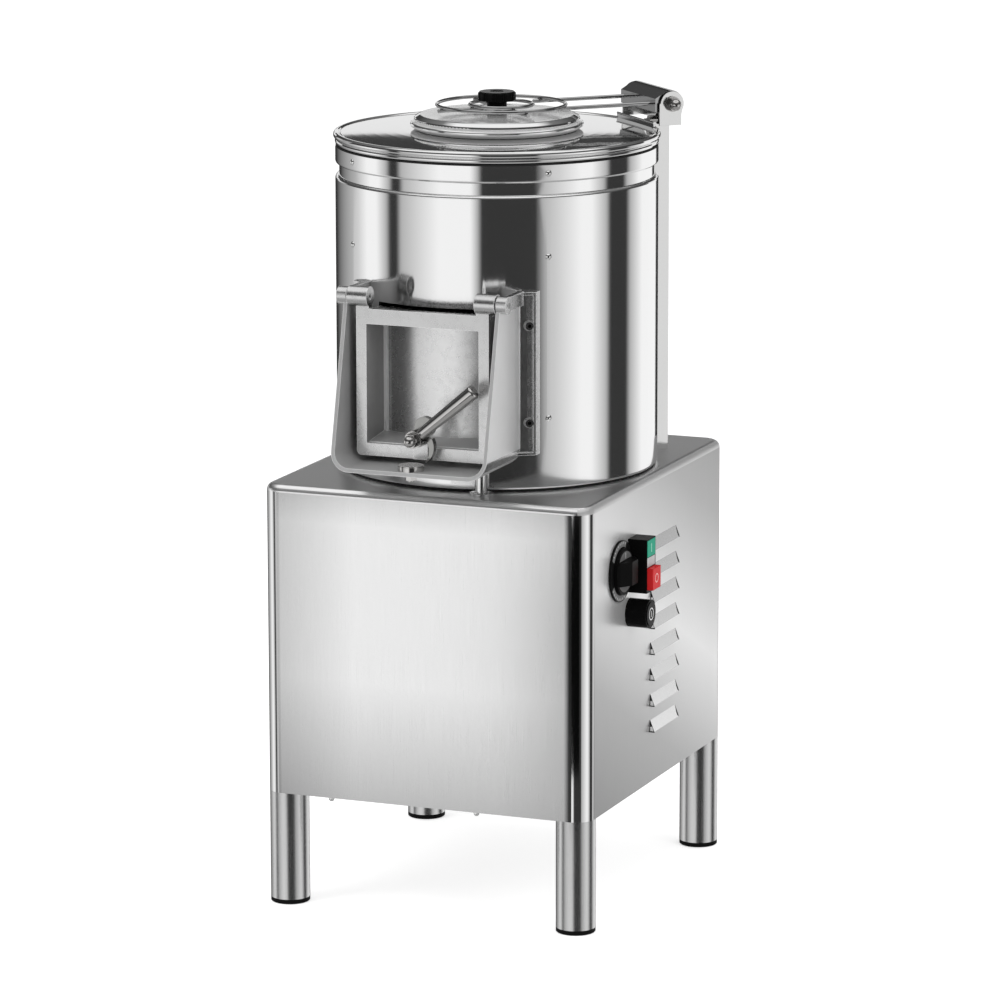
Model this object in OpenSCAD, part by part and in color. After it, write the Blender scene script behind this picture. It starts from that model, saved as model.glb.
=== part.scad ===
// Floor-standing electric potato peeler: a rumbler drum on a stainless cabinet.
// Millimetres, +Z up, front towards -Y. The pieces are drawn about the drum's
// axis and at_origin() moves them so that the middle of the footprint is at 0, 0.

/* [Cabinet] */
// Width of the cabinet, side to side
cabinet_w = 440; // [424:1:500]
// Depth of the cabinet, front to back
cabinet_d = 500; // [490:1:560]
// Height of the cabinet body
cabinet_h = 398; // [390:1:450]
// Radius of the upright cabinet corners
cabinet_corner_r = 25; // [15:1:35]
// Thickness of the cabinet sheet
cabinet_sheet = 1.5; // [1:0.1:2.5]
// Radius of the rounded edge around the deck
deck_edge_r = 9; // [4:0.5:12]
// Thickness of the deck sheet
deck_sheet = 2; // [1.5:0.1:3]
// Thickness of the base plate
base_t = 2; // [1.5:0.1:4]

/* [Legs] */
// Outside radius of the leg tubes
leg_r = 25; // [20:0.5:28]
// Wall of the leg tubes
leg_wall = 1.5; // [1.2:0.1:3]
// Height of the cabinet above the floor
leg_clear = 146; // [110:1:200]
// Height of the plastic foot under each leg tube
foot_h = 6; // [4:0.5:12]

/* [Louvres] */
// Number of louvres in the right side
louvre_count = 8; // [1:1:8]
// Length of one louvre
louvre_len = 92; // [60:1:110]
// Height of one louvre
louvre_h = 15; // [10:0.5:20]
// How far a louvre stands out
louvre_depth = 5.5; // [4:0.5:8]
// Spacing of the louvres
louvre_pitch = 33.8; // [28:0.1:36]
// Place of the louvres' middle along the side
louvre_y = 18; // [10:1:40]
// Drop from the deck to the top of the first louvre
louvre_drop = 80; // [60:1:90]

/* [Drum] */
// Outside radius of the drum
drum_r = 205; // [203:0.5:212]
// Wall of the drum
drum_wall = 2.5; // [2:0.1:3]
// Height of the drum from its gasket to its rim
drum_h = 407; // [395:1:440]
// Thickness of the gasket under the drum
gasket_t = 2; // [1:0.5:4]
// Height of the band around the drum's rim
band_h = 22; // [18:0.5:28]
// Depth of the groove under the band
groove_depth = 5; // [4.5:0.1:6]
// Height of the groove under the band
groove_h = 15; // [12:0.5:20]
// Thickness of the abrasive lining
liner_t = 4; // [3:0.5:6]
// Height of the drum floor above the underside of the drum
floor_lift = 2.5; // [2:0.5:6]
// Thickness of the drum floor
floor_t = 3; // [2:0.5:4]

/* [Cover and lid] */
// Thickness of the cover and lid sheet
cover_sheet = 2; // [1.5:0.1:2.5]
// Height of the cover above the drum's rim
cover_h = 19; // [17:0.5:24]
// Rise of the cover's surface from its rim to the neck
cover_dome = 3; // [1:0.5:4]
// Thickness of the seal under the cover
cover_seal_t = 2; // [1:0.5:4]
// Outside radius of the loading neck
neck_r = 88; // [80:0.5:90]
// Height of the loading neck above the cover
neck_h = 12; // [11:0.5:16]
// Radius of the lid's widest edge
lid_r = 110; // [106:0.5:114]
// Height of the lid
lid_h = 19; // [18.5:0.5:24]
// Distance of the cover's upright flange from the drum axis
flange_reach = 194; // [188:0.5:196]
// Height of the cover's upright flange
flange_h = 3; // [2:0.5:9]

/* [Lid arm] */
// Direction of the lid arm from the drum axis, in degrees
arm_azimuth = 45; // [43:1:47]
// Radius of the arm's two rods
rod_r = 2.5; // [2:0.1:3]
// Distance between the two rods
rod_spread = 80; // [70:1:84]
// Radius of the outer ring's wire circle
ring_r = 81.5; // [76:0.5:86]
// Radius of the inner ring's wire circle
ring_inner_r = 40; // [32:0.5:50]
// Radius of the ring wire
wire_r = 2.25; // [1.5:0.05:3]
// Distance of the rings' centre from the drum axis, towards the hinge
ring_offset = 6; // [0:0.5:10]
// Radius of the plate that the lid hangs from
hub_plate_r = 22; // [18:0.5:28]
// Gap between the lid and the plate that it hangs from
hub_gap = 5.4; // [3:0.1:8]
// Radius of the lid knob's head
knob_r = 24; // [18:0.5:30]
// Height of the lid knob's head
knob_head_h = 11.5; // [9:0.5:16]
// Radius of the lid knob's neck
knob_neck_r = 12.5; // [9:0.5:15]
// Height of the lid knob's neck
knob_neck_h = 7; // [5:0.5:12]
// Number of lobes on the lid knob
knob_lobes = 12; // [5:1:12]

/* [Lid hinge and post] */
// Distance of the lid hinge from the drum axis
hinge_reach = 217.6; // [216:0.1:222]
// Height of the lid hinge above the cover
hinge_rise = 26.7; // [26:0.1:32]
// Width between the bracket's cheeks
hinge_w = 110; // [94:1:114]
// Thickness of the bracket sheet
bracket_t = 2.5; // [2:0.1:3]
// Radius of the hinge bolt
hinge_bolt_r = 5; // [4:0.5:6]
// Outside radius of the arm's curled hinge plate
curl_r = 17; // [15:0.5:18]
// Thickness of the arm's curled hinge plate
curl_t = 2; // [1.5:0.1:3]
// Width of the post
post_w = 34; // [30:1:40]
// Depth of the post
post_d = 20; // [16:0.5:24]
// Thickness of the post sheet
post_t = 2; // [1.5:0.1:3]
// Length of the tab that ties the bracket to the post
tab_len = 74; // [60:1:90]

/* [Chute] */
// Width inside the chute
chute_w = 198; // [186:1:204]
// Wall of the chute casting
chute_wall = 5; // [4:0.5:7]
// Height of the chute casting
chute_h = 219; // [214:1:230]
// Height of the chute's underside above the deck
chute_lift = 34; // [28:1:45]
// Distance of the chute's front edge from the drum axis, at the top
chute_top_reach = 247; // [240:1:255]
// Distance of the chute's front edge from the drum axis, at the floor
chute_floor_reach = 299; // [296:1:320]
// Outside radius of the chute's lower corners
chute_corner_r = 25; // [16:1:30]
// Width of the flanges that bolt the chute to the drum
chute_flange_w = 19; // [16:1:24]
// Thickness of those flanges
chute_flange_t = 6; // [4:0.5:8]
// Radius of the stay under the chute
stay_r = 8.25; // [6:0.25:10]
// Place of the stay to the right of the drum axis
stay_x = 64; // [50:1:75]
// Distance of the stay in front of the drum axis
stay_reach = 213; // [212:1:225]

/* [Door] */
// Width of the door
door_w = 177; // [170:1:182]
// Height of the door
door_h = 184.5; // [180:0.5:187]
// Distance of the door's face from the drum axis
door_reach = 248; // [246:0.5:250]
// Thickness of the door's face frame
door_t = 8; // [6:0.5:9]
// Width of the door's side bars
door_bar = 13.5; // [11:0.5:18]
// Width of the door's lower bar
door_low_bar = 15.5; // [13:0.5:20]
// Width of the door's upper bar
door_top_bar = 19; // [16:0.5:24]
// Wall of the door's box behind the frame
door_wall = 6; // [4:0.5:8]
// Radius of the door's hinge barrels
barrel_r = 12.7; // [10:0.1:13]
// Radius of the door's hinge pins
door_pin_r = 4; // [3:0.25:6]

/* [Latch] */
// Height of the latch's pivot above the door's lower edge
latch_lift = 30; // [28:0.5:34]
// Radius of the latch's pivot bolt
latch_bolt_r = 4; // [3:0.25:5]
// Thickness of the latch's cam
cam_t = 9; // [6:0.5:9.5]
// Radius of the latch's cam disc
cam_r = 13; // [11:0.5:20]
// Length of the latch lever from its pivot to its end's rounding
lever_len = 100; // [80:1:101]
// Angle of the latch lever above level, in degrees
lever_angle = 39.5; // [39:0.5:60]
// Radius of the lever at its root
lever_root_r = 6.5; // [4:0.25:7]
// Radius of the lever at its end
lever_end_r = 9.2; // [6:0.1:9.6]
// Radius of the rounding at the lever's end
lever_round_r = 3.5; // [1:0.5:5]
// Radius of the striker disc on the chute floor
striker_r = 16.5; // [10:0.5:16.5]
// Height of the striker disc
striker_h = 7; // [5:0.5:7]

/* [Controls] */
// Radius of the timer's dial plate
dial_r = 38.7; // [34:0.1:42]
// Thickness of the timer's dial plate
dial_t = 3.2; // [2:0.1:5]
// Drop from the deck to the timer's axis
timer_drop = 99; // [95:1:110]
// Distance of the timer's axis in front of the drum axis
timer_reach = 140; // [138:1:150]
// Radius of the timer knob's skirt
timer_skirt_r = 29.4; // [22:0.1:29.4]
// Height of the timer knob's skirt
timer_skirt_h = 4.5; // [4:0.5:10]
// Height of the timer knob's grip
timer_grip_h = 13; // [8:0.5:16]
// Depth of the switch box, out from the cabinet
box_depth = 25.3; // [20:0.1:32]
// Width of the switch box
box_w = 30.7; // [30:0.1:34]
// Height of the switch box
box_h = 68.5; // [68:0.5:80]
// Drop from the deck to the top of the switch box
box_drop = 64; // [56:1:66]
// Distance of the switch box's front side from the drum axis
box_reach = 109.5; // [105:0.5:109.5]
// How far the stop button stands out of the switch box
stop_out = 7.6; // [6:0.1:10]
// Radius of the round button's collar
round_r = 18.2; // [15:0.1:20]
// How far the round button stands out of the cabinet
round_out = 28.7; // [24:0.1:34]
// Distance of the round button in front of the drum axis
round_reach = 102; // [98:1:108]
// Drop from the deck to the round button's axis
round_drop = 159.5; // [157:0.5:170]

/* [Drive] */
// Radius of the driven pulley's belt track
big_pulley_r = 98; // [80:1:100]
// Radius of the motor pulley's belt track
small_pulley_r = 24.5; // [20:0.5:30]
// Distance of the motor shaft from the back of the cabinet
motor_clearance = 85; // [80:1:90]
// Width of the belt
belt_w = 18; // [12:1:20]
// Thickness of the belt
belt_t = 4; // [3:0.5:5]
// Radius of the main shaft
shaft_r = 12.45; // [10:0.05:14]
// Radius of the motor shaft
motor_shaft_r = 9.45; // [7:0.05:11]
// Radius of the motor's body
motor_r = 62; // [50:1:66]
// Length of the motor's body
motor_len = 185; // [150:1:190]
// Radius of the rotating abrasive plate
plate_r = 190; // [180:1:192]
// Thickness of the rotating abrasive plate
plate_t = 10; // [8:0.5:12]
// Height of the waves on the abrasive plate
wave_h = 9; // [5:0.5:14]

/* [Services] */
// Outside radius of the drain pipe
drain_r = 25; // [20:0.5:26]
// Wall of the drain pipe
drain_wall = 2; // [1.5:0.1:3]
// How far the drain pipe stands out behind the cabinet
drain_out = 49; // [40:1:60]
// Radius of the water inlet's threaded end
inlet_r = 13.2; // [10:0.1:14]
// How far the water inlet stands out behind the cabinet
inlet_out = 26; // [20:1:36]
// Radius of the cable hole in the gland
gland_bore_r = 5; // [4:0.5:6]

/* [Hidden] */
$fn = 72;

// Colours
steel = [0.78, 0.79, 0.80];
polished = [0.86, 0.87, 0.88];
cast = [0.70, 0.71, 0.72];
black = [0.07, 0.07, 0.08];
rubber = [0.12, 0.12, 0.12];
grit = [0.35, 0.34, 0.33];

// Clearances
run_gap = 0.05;      // radial gap of a shaft, pin or bolt that turns in its hole
slide_gap = 0.4;     // gap around a button in its pocket
seat_gap = 0.3;      // gap between a moving piece and the piece that it rests on
hole_gap = 0.1;      // radial gap of a fixed screw in its hole
far = 400;           // length of a cutting body

// Heights
deck_z = leg_clear + cabinet_h;
drum_z = deck_z + gasket_t;
rim_z = drum_z + drum_h;
cover_z = rim_z + cover_h;
lid_z = cover_z + 0.4;
lid_top = lid_z + lid_h;
hub_z = lid_top + hub_gap;
rod_z = hub_z + rod_r - 0.8;
wire_z = rod_z + rod_r + wire_r - 0.4;
hub_top = rod_z + rod_r;
hinge_z = cover_z + hinge_rise;

// Drum
shell_r = drum_r - drum_wall;
neck_out_r = drum_r - groove_depth;
shoulder_z = rim_z - band_h - groove_h;
shell_foot_r = 4;
liner_z0 = drum_z + floor_lift + floor_t + 1;
liner_z1 = shoulder_z - groove_depth;
screw_z = [rim_z - band_h / 2 + 1, deck_z + 295, deck_z + 92];
screw_azimuths = [-50, -130, 50, 130];

// Chute and door
chute_z = deck_z + chute_lift;
chute_top = chute_z + chute_h;
chute_floor_z = chute_z + chute_wall;
door_z = chute_floor_z + 8;
door_top = door_z + door_h;
door_hinge_z = door_top + 14.5;
door_box_w = door_w - 2 * door_bar + 2 * door_wall;
door_hinge_reach = door_reach - 5;
door_back = door_hinge_reach - 66;
door_rise = 8;
port_w = door_box_w + 5;
port_z0 = door_z + 6.5;
port_z1 = door_top - 1;
panel_r = drum_r - 2;
panel_t = 4;
ear_x = chute_w / 2;
ear_len = 14;
ear_r = 11;
barrel_len = 27;
barrel_x = ear_x - 0.5;

// Latch
pivot_z = door_z + latch_lift;
lug_t = 7.5;
cam_y = door_reach + lug_t + 0.4;
hub_y = cam_y + cam_t;
hub_len = 2 * lever_root_r + 2;
hub_r = 12;
nut_y = hub_y + hub_len;
striker_x = -2;
striker_reach = cam_y + cam_t + striker_r - 0.4;

// Controls
side_x = cabinet_w / 2;
timer_z = deck_z - timer_drop;
box_top = deck_z - box_drop;
box_x = side_x + box_depth;
cap_w = box_w - 3;
start_h = 21;
stop_h = 27.5;
lens_h = 12;
start_z = box_top - 1.6 - start_h;
lens_z = start_z - 1 - lens_h;
stop_z = lens_z - 1 - stop_h;
round_z = deck_z - round_drop;
button_travel = 3;

// Drive
housing_r = 36;
bearing_r = 26;
bearing_w = 15;
housing_z0 = deck_z - 92;
housing_z1 = deck_z + 16;
plate_z = housing_z1 + 6;
pulley_h = belt_w + 8;
pulley_z = deck_z - 139;
belt_z = pulley_z + 4;
belt_gap = 0.3;
bore_r = shaft_r + run_gap;
motor_bore_r = motor_shaft_r + run_gap;
motor_plate_t = 6;
motor_plate_z = pulley_z - 4 - motor_plate_t;
rear_y = cabinet_d / 2;
belt_centres = rear_y - motor_clearance;
motor_bore_depth = 60;
hanger_x = motor_r + 23;
hanger_y = [belt_centres - motor_r - 3, belt_centres + motor_r - 2];

// Services
drain_x = -130;
drain_y = 100;
drain_z = leg_clear + 64;
drain_bend_r = 38;
pipe_r = 8;
pipe_wall = 1;
pipe_azimuth = 122;
pipe_reach = drum_r + 14;
inlet_x = -60;
inlet_z = deck_z - 84;
gland_x = 90;
gland_z = leg_clear + 54;
rear_w = cabinet_w - 60;
rear_h = cabinet_h - 40;

// Middle of the footprint
origin_x = (box_depth + stop_out) / 2;
origin_y = (rear_y + drain_out - chute_floor_reach) / 2;

module at_origin() { translate([-origin_x, -origin_y, 0]) children(); }

// ---------------------------------------------------------------- shared forms

// Points of an arc about c, from angle a to angle b
function arc(c, r, a, b, n = 6) = [for (i = [0:n]) c + r * [cos(a + (b - a) * i / n), sin(a + (b - a) * i / n)]];

// Box with round upright corners, its middle on the axis
module slab(w, d, h, r) {
    translate([-w / 2, -d / 2 + r, 0]) cube([w, d - 2 * r, h]);
    translate([-w / 2 + r, -d / 2, 0]) cube([w - 2 * r, d, h]);
    for (x = [-1, 1], y = [-1, 1])
        translate([x * (w / 2 - r), y * (d / 2 - r), 0]) cylinder(r = r, h = h);
}

// Slab whose upper edge is rounded all round; e is its height and the edge's radius
module soft_slab(w, d, r, e) {
    edge = concat([[0, 0], [r, 0]], arc([r - e, 0], e, 0, 90, 8), [[0, e]]);
    translate([-w / 2 + r, -d / 2 + r, 0]) cube([w - 2 * r, d - 2 * r, e]);
    for (s = [0, 180]) rotate([0, 0, s]) {
        translate([w / 2 - r, 0, 0]) rotate([90, 0, 0]) linear_extrude(height = d - 2 * r, center = true) polygon(edge);
        translate([0, d / 2 - r, 0]) rotate([90, 0, 90]) linear_extrude(height = w - 2 * r, center = true) polygon(edge);
        translate([w / 2 - r, d / 2 - r, 0]) rotate_extrude(angle = 90) polygon(edge);
        translate([-w / 2 + r, d / 2 - r, 0]) rotate([0, 0, 90]) rotate_extrude(angle = 90) polygon(edge);
    }
}

// Ring standing on z = 0
module ring(r_out, r_in, h) {
    difference() {
        cylinder(r = r_out, h = h);
        translate([0, 0, -1]) cylinder(r = r_in, h = h + 2);
    }
}

// Outline in Y and Z, drawn along X
module along_x(w) { rotate([90, 0, 90]) linear_extrude(height = w, center = true) children(); }

// Outline in X and Z, drawn along Y
module along_y(w) { rotate([90, 0, 0]) linear_extrude(height = w, center = true) children(); }

// Children turned to the arm's direction: X leads away from the drum axis
module arm_frame() { rotate([0, 0, arm_azimuth]) children(); }

// Children on the drum at an azimuth, with Z leading out of the drum
module on_drum(azimuth, z) { rotate([0, 0, azimuth]) translate([drum_r, 0, z]) rotate([0, 90, 0]) children(); }

// Dome-headed screw, its head standing on z = 0 and its shank below
module dome_screw(head_r, head_h, shank_r, len) {
    sphere_r = (head_r * head_r + head_h * head_h) / (2 * head_h);
    intersection() {
        translate([0, 0, head_h - sphere_r]) sphere(r = sphere_r);
        cylinder(r = head_r, h = head_h);
    }
    translate([0, 0, -len]) cylinder(r = shank_r, h = len + head_h / 2);
}

// Hexagon nut with a domed cap, standing on z = 0
module acorn_nut(r, h) {
    cylinder(r = r, h = h * 0.45, $fn = 6);
    cylinder(r = r * 0.8, h = h - r * 0.8);
    translate([0, 0, h - r * 0.8]) sphere(r = r * 0.8);
}

// ---------------------------------------------------------------- cabinet

shell_h = cabinet_h - deck_edge_r;

// Slot and hood of one louvre; the hood is open below
module louvre_hood() {
    along_y(louvre_len)
        polygon([[-cabinet_sheet / 2, 0], [0, 0], [louvre_depth, -louvre_h], [-cabinet_sheet / 2, -louvre_h]]);
}

module louvre_hollow() {
    roof = cabinet_sheet * sqrt(1 + pow(louvre_h / louvre_depth, 2));
    low = louvre_h + 1;
    along_y(louvre_len - 2 * cabinet_sheet)
        polygon([[-2 * cabinet_sheet, -roof], [0, -roof], [(low - roof) * louvre_depth / louvre_h, -low],
            [-2 * cabinet_sheet, -low]]);
}

module at_louvres() {
    for (i = [0:louvre_count - 1])
        translate([side_x, louvre_y, deck_z - louvre_drop - i * louvre_pitch]) children();
}

module cabinet_shell() {
    color(steel) difference() {
        union() {
            translate([0, 0, leg_clear]) difference() {
                slab(cabinet_w, cabinet_d, shell_h, cabinet_corner_r);
                translate([0, 0, -1]) slab(cabinet_w - 2 * cabinet_sheet, cabinet_d - 2 * cabinet_sheet,
                    shell_h + 2, cabinet_corner_r - cabinet_sheet);
            }
            at_louvres() louvre_hood();
        }
        at_louvres() louvre_hollow();
        // service opening behind the rear panel
        translate([0, rear_y, leg_clear + cabinet_h / 2])
            cube([rear_w - 30, 20, rear_h - 30], center = true);
        at_rear_screws() translate([0, 0, -10]) cylinder(r = 2 + hole_gap, h = 20);
        // shaft and wiring holes behind the controls
        translate([side_x, -timer_reach, timer_z]) rotate([0, 90, 0]) cylinder(r = 5, h = 20, center = true);
        translate([side_x, -box_reach + box_w / 2, box_top - box_h / 2])
            rotate([0, 90, 0]) cylinder(r = 8, h = 20, center = true);
        translate([side_x, -round_reach, round_z]) rotate([0, 90, 0]) cylinder(r = 10, h = 20, center = true);
    }
}

module cabinet_top() {
    lip = deck_edge_r + 3;
    color(steel) translate([0, 0, deck_z - deck_edge_r]) difference() {
        soft_slab(cabinet_w, cabinet_d, cabinet_corner_r, deck_edge_r);
        translate([0, 0, -1]) slab(cabinet_w - 2 * lip, cabinet_d - 2 * lip,
            deck_edge_r - deck_sheet + 1, cabinet_corner_r - deck_edge_r);
        translate([0, 0, -1]) cylinder(r = housing_r + hole_gap, h = 20);
        translate([drain_x, drain_y, -1]) cylinder(r = drain_r + hole_gap, h = 20);
        rotate([0, 0, pipe_azimuth]) translate([pipe_reach, 0, -1]) cylinder(r = pipe_r + hole_gap, h = 20);
    }
}

module rear_panel() {
    color(steel) difference() {
        translate([0, rear_y + cabinet_sheet / 2, leg_clear + cabinet_h / 2])
            cube([rear_w, cabinet_sheet, rear_h], center = true);
        translate([drain_x, rear_y, drain_z]) rotate([90, 0, 0]) cylinder(r = drain_r + hole_gap, h = 20, center = true);
        translate([inlet_x, rear_y, inlet_z]) rotate([90, 0, 0]) cylinder(r = inlet_r + hole_gap, h = 20, center = true);
        translate([gland_x, rear_y, gland_z])
            rotate([90, 0, 0]) cylinder(r = gland_bore_r + 3 + hole_gap, h = 20, center = true);
        at_rear_screws() translate([0, 0, -10]) cylinder(r = 2 + hole_gap, h = 20);
    }
}

// Screw places of the rear panel, with Z leading out of the panel
module at_rear_screws() {
    for (x = [-1, 1], z = [-1, 0, 1])
        translate([x * (rear_w / 2 - 8), rear_y + cabinet_sheet, leg_clear + cabinet_h / 2 + z * (rear_h / 2 - 12)])
            rotate([-90, 0, 0]) children();
}

module at_legs() {
    for (x = [-1, 1], y = [-1, 1]) translate([x * (cabinet_w / 2 - leg_r), y * (cabinet_d / 2 - leg_r), 0]) children();
}

base_w = cabinet_w - 2 * cabinet_sheet - 0.4;
base_d = cabinet_d - 2 * cabinet_sheet - 0.4;
leg_bolt_r = 5;
tray_nut_r = 4.6;

module at_tray_nuts() {
    for (x = [-0.3, 0.15], y = [-1, 1]) translate([x * cabinet_w, y * (cabinet_d / 2 - 14), leg_clear]) children();
}

module base_plate() {
    color(steel) difference() {
        translate([0, 0, leg_clear]) slab(base_w, base_d, base_t, cabinet_corner_r - cabinet_sheet);
        at_legs() cylinder(r = leg_bolt_r + hole_gap, h = 2 * leg_clear);
        at_tray_nuts() translate([0, 0, -1]) cylinder(r = 2.5 + hole_gap, h = 10);
    }
}

// Nuts on the leg studs, and the cap nuts with their bolts along the tray's edges
module base_nuts() {
    color(polished) {
        at_legs() translate([0, 0, leg_clear + base_t]) difference() {
            cylinder(r = 9.5, h = 8, $fn = 6);
            translate([0, 0, -1]) cylinder(r = leg_bolt_r + hole_gap, h = 12);
        }
        at_tray_nuts() {
            mirror([0, 0, 1]) acorn_nut(tray_nut_r, 8);
            cylinder(r = 2.5, h = base_t + 1);
            translate([0, 0, base_t]) cylinder(r = 4.5, h = 3);
        }
    }
}

module leg(x, y) {
    color(steel) translate([x * (cabinet_w / 2 - leg_r), y * (cabinet_d / 2 - leg_r), 0]) {
        translate([0, 0, foot_h]) ring(leg_r, leg_r - leg_wall, leg_clear - foot_h);
        translate([0, 0, leg_clear - 5]) cylinder(r = leg_r - leg_wall / 2, h = 5);
        translate([0, 0, leg_clear - 5]) cylinder(r = leg_bolt_r, h = 20);
    }
}

module leg_front_left() { leg(-1, -1); }
module leg_front_right() { leg(1, -1); }
module leg_rear_left() { leg(-1, 1); }
module leg_rear_right() { leg(1, 1); }

module foot_caps() {
    plug_r = leg_r - leg_wall - hole_gap;
    color(black) at_legs() rotate_extrude()
        polygon([[0, 0], [leg_r - 1, 0], [leg_r, 1], [leg_r, foot_h], [plug_r, foot_h],
            [plug_r, foot_h + 18], [plug_r - 1, foot_h + 20], [0, foot_h + 20]]);
}

// ---------------------------------------------------------------- drum

// Opening in the drum's wall behind the door
module port_cut() {
    translate([-port_w / 2, -drum_r - 10, port_z0]) cube([port_w, 60, port_z1 - port_z0]);
}

// Screw places on the drum, with Z leading out of it
module at_drum_screws(z) { for (a = screw_azimuths) on_drum(a, z) children(); }

// Screws through the drum's wall below the band
module wall_holes() {
    for (z = [screw_z[1], screw_z[2]]) at_drum_screws(z) translate([0, 0, -20]) cylinder(r = 2 + hole_gap, h = 40);
}

// Hole where the water pipe enters the drum
module pipe_hole() {
    rotate([0, 0, pipe_azimuth]) translate([shell_r - 20, 0, shoulder_z - 30])
        rotate([0, 90, 0]) cylinder(r = pipe_r + hole_gap, h = 60);
}

module drum_shell() {
    foot_r = shell_foot_r;
    color(polished) difference() {
        rotate_extrude($fn = 144) polygon(concat(
            [[drum_r - 15, drum_z]],
            arc([drum_r - foot_r, drum_z + foot_r], foot_r, -90, 0),
            arc([drum_r - groove_depth, shoulder_z - groove_depth], groove_depth, 0, 90),
            [[neck_out_r, rim_z - 1], [neck_out_r - drum_wall, rim_z - 1]],
            arc([drum_r - groove_depth, shoulder_z - groove_depth], groove_depth - drum_wall, 90, 0),
            arc([drum_r - foot_r, drum_z + foot_r], foot_r - drum_wall, 0, -90),
            [[drum_r - 15, drum_z + drum_wall]]));
        port_cut();
        wall_holes();
        pipe_hole();
        at_drum_screws(screw_z[0]) translate([0, 0, -20]) cylinder(r = 2 + hole_gap, h = 40);
    }
}

module drum_band() {
    edge = 3.5;
    color(polished) difference() {
        rotate_extrude($fn = 144) polygon(concat(
            [[neck_out_r + hole_gap, rim_z - band_h]],
            arc([drum_r - edge, rim_z - band_h + edge], edge, -90, 0),
            [[drum_r, rim_z], [neck_out_r + hole_gap, rim_z]]));
        at_drum_screws(screw_z[0]) translate([0, 0, -20]) cylinder(r = 2 + hole_gap, h = 40);
    }
}

module drum_floor() {
    color(steel) difference() {
        translate([0, 0, drum_z + floor_lift]) cylinder(r = drum_r - shell_foot_r - hole_gap, h = floor_t, $fn = 144);
        translate([0, 0, drum_z]) cylinder(r = housing_r + hole_gap, h = 40);
        translate([drain_x, drain_y, drum_z]) cylinder(r = drain_r + hole_gap, h = 40);
    }
}

module drum_gasket() {
    color(rubber) difference() {
        translate([0, 0, deck_z]) ring(drum_r - 3, drum_r - 15, gasket_t, $fn = 144);
        translate([drain_x, drain_y, deck_z - 1]) cylinder(r = drain_r + hole_gap, h = 40);
    }
}

module abrasive_liner() {
    color(grit) difference() {
        translate([0, 0, liner_z0]) ring(shell_r - hole_gap, shell_r - liner_t, liner_z1 - liner_z0, $fn = 144);
        port_cut();
        wall_holes();
        pipe_hole();
    }
}

// Dome-headed screws of one size: drum wall, band, rear panel and post
module dome_screws() {
    color(polished) {
        for (z = [screw_z[1], screw_z[2]]) at_drum_screws(z) dome_screw(4.2, 2.6, 2, drum_wall + liner_t - 0.5);
        at_drum_screws(screw_z[0]) dome_screw(4.2, 2.6, 2, groove_depth + drum_wall - 0.5);
        at_rear_screws() dome_screw(4.2, 2.6, 2, 2 * cabinet_sheet);
        at_post_screw() dome_screw(4.2, 2.6, 2, post_t + bracket_t);
    }
}

// ---------------------------------------------------------------- cover and lid

// Height of the cover's slightly domed surface at a radius
function dome_z(r) = cover_z - cover_dome * pow((r - neck_r - 2) / (cover_edge_r - neck_r - 2), 2);

cover_edge_r = drum_r - 6.8;

module top_cover() {
    bead = 3.6;
    roll = 4.3;
    bead_at = [drum_r - 3.2, rim_z + cover_seal_t + bead];
    roll_at = bead_at + [1.4, bead + roll - 0.3];
    inner = neck_out_r - drum_wall;
    // radii along the domed surface, from the rim to the neck
    radii = [for (i = [0:8]) cover_edge_r + (neck_r + 2 - cover_edge_r) * i / 8];
    color(polished) {
        rotate_extrude($fn = 144) polygon(concat(
            [[inner, rim_z + cover_seal_t]],
            arc(bead_at, bead, -90, 66),
            arc(roll_at, roll, -89, 150, 10),
            [roll_at + [-roll, roll / 2 - 0.4]],
            [for (r = radii) [r, dome_z(r)]], arc([neck_r + 2, cover_z + 2], 2, -90, -180),
            [[neck_r, cover_z + neck_h], [neck_r - cover_sheet, cover_z + neck_h],
                [neck_r - cover_sheet, cover_z - cover_sheet]],
            [for (i = [8:-1:0]) [radii[i], dome_z(radii[i]) - cover_sheet]],
            [[inner, dome_z(inner) - cover_sheet]]));
        // upright flange with a hemmed edge, which faces the interlock
        arm_frame() translate([flange_reach, 0, cover_z]) {
            half = sqrt(pow(drum_r - 3, 2) - pow(flange_reach, 2));
            translate([-2, -half, -cover_dome - 0.5]) cube([2, 2 * half, cover_dome + 0.5 + flange_h]);
            translate([-1, 0, flange_h]) rotate([90, 0, 0]) cylinder(r = 1.5, h = 2 * half, center = true, $fn = 24);
        }
    }
}

module cover_seal() {
    color(rubber) translate([0, 0, rim_z]) ring(drum_r - 0.8, neck_out_r - 1.5, cover_seal_t, $fn = 144);
}

lid_bead_r = 3.2;

module lid() {
    t = cover_sheet;
    rim = lid_r - 8;         // bottom edge of the skirt
    wall = lid_r - 11.5;     // inner face of the rolled side
    // outline from the bottom edge, round the rim and the bead, to the flat top
    color(polished) difference() {
        rotate_extrude($fn = 120) polygon(concat(
            [[rim, lid_z]],
            arc([lid_r - 3, lid_z + 6.5], 3, -60, 90),
            [[lid_r - 6.5, lid_z + 10]],
            arc([lid_r - 8, lid_z + 10 + lid_bead_r], lid_bead_r, -60, 70),
            [[wall + 1, lid_top - 0.8], [wall - 1, lid_top], [0, lid_top], [0, lid_top - t],
                [wall - 2, lid_top - t], [wall, lid_top - t - 1.5], [wall, lid_z + 8],
                [wall + 6, lid_z + 5.8], [rim - 1, lid_z + t * 0.85]]));
        translate([0, 0, lid_top - 10]) cylinder(r = stud_r, h = 20);
    }
}

module lid_seal() {
    color(rubber) translate([0, 0, cover_z + neck_h + seat_gap])
        ring(neck_r + 0.5, neck_r - cover_sheet - 1.5, lid_top - cover_sheet - cover_z - neck_h - seat_gap);
}

stud_r = 5;

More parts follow.
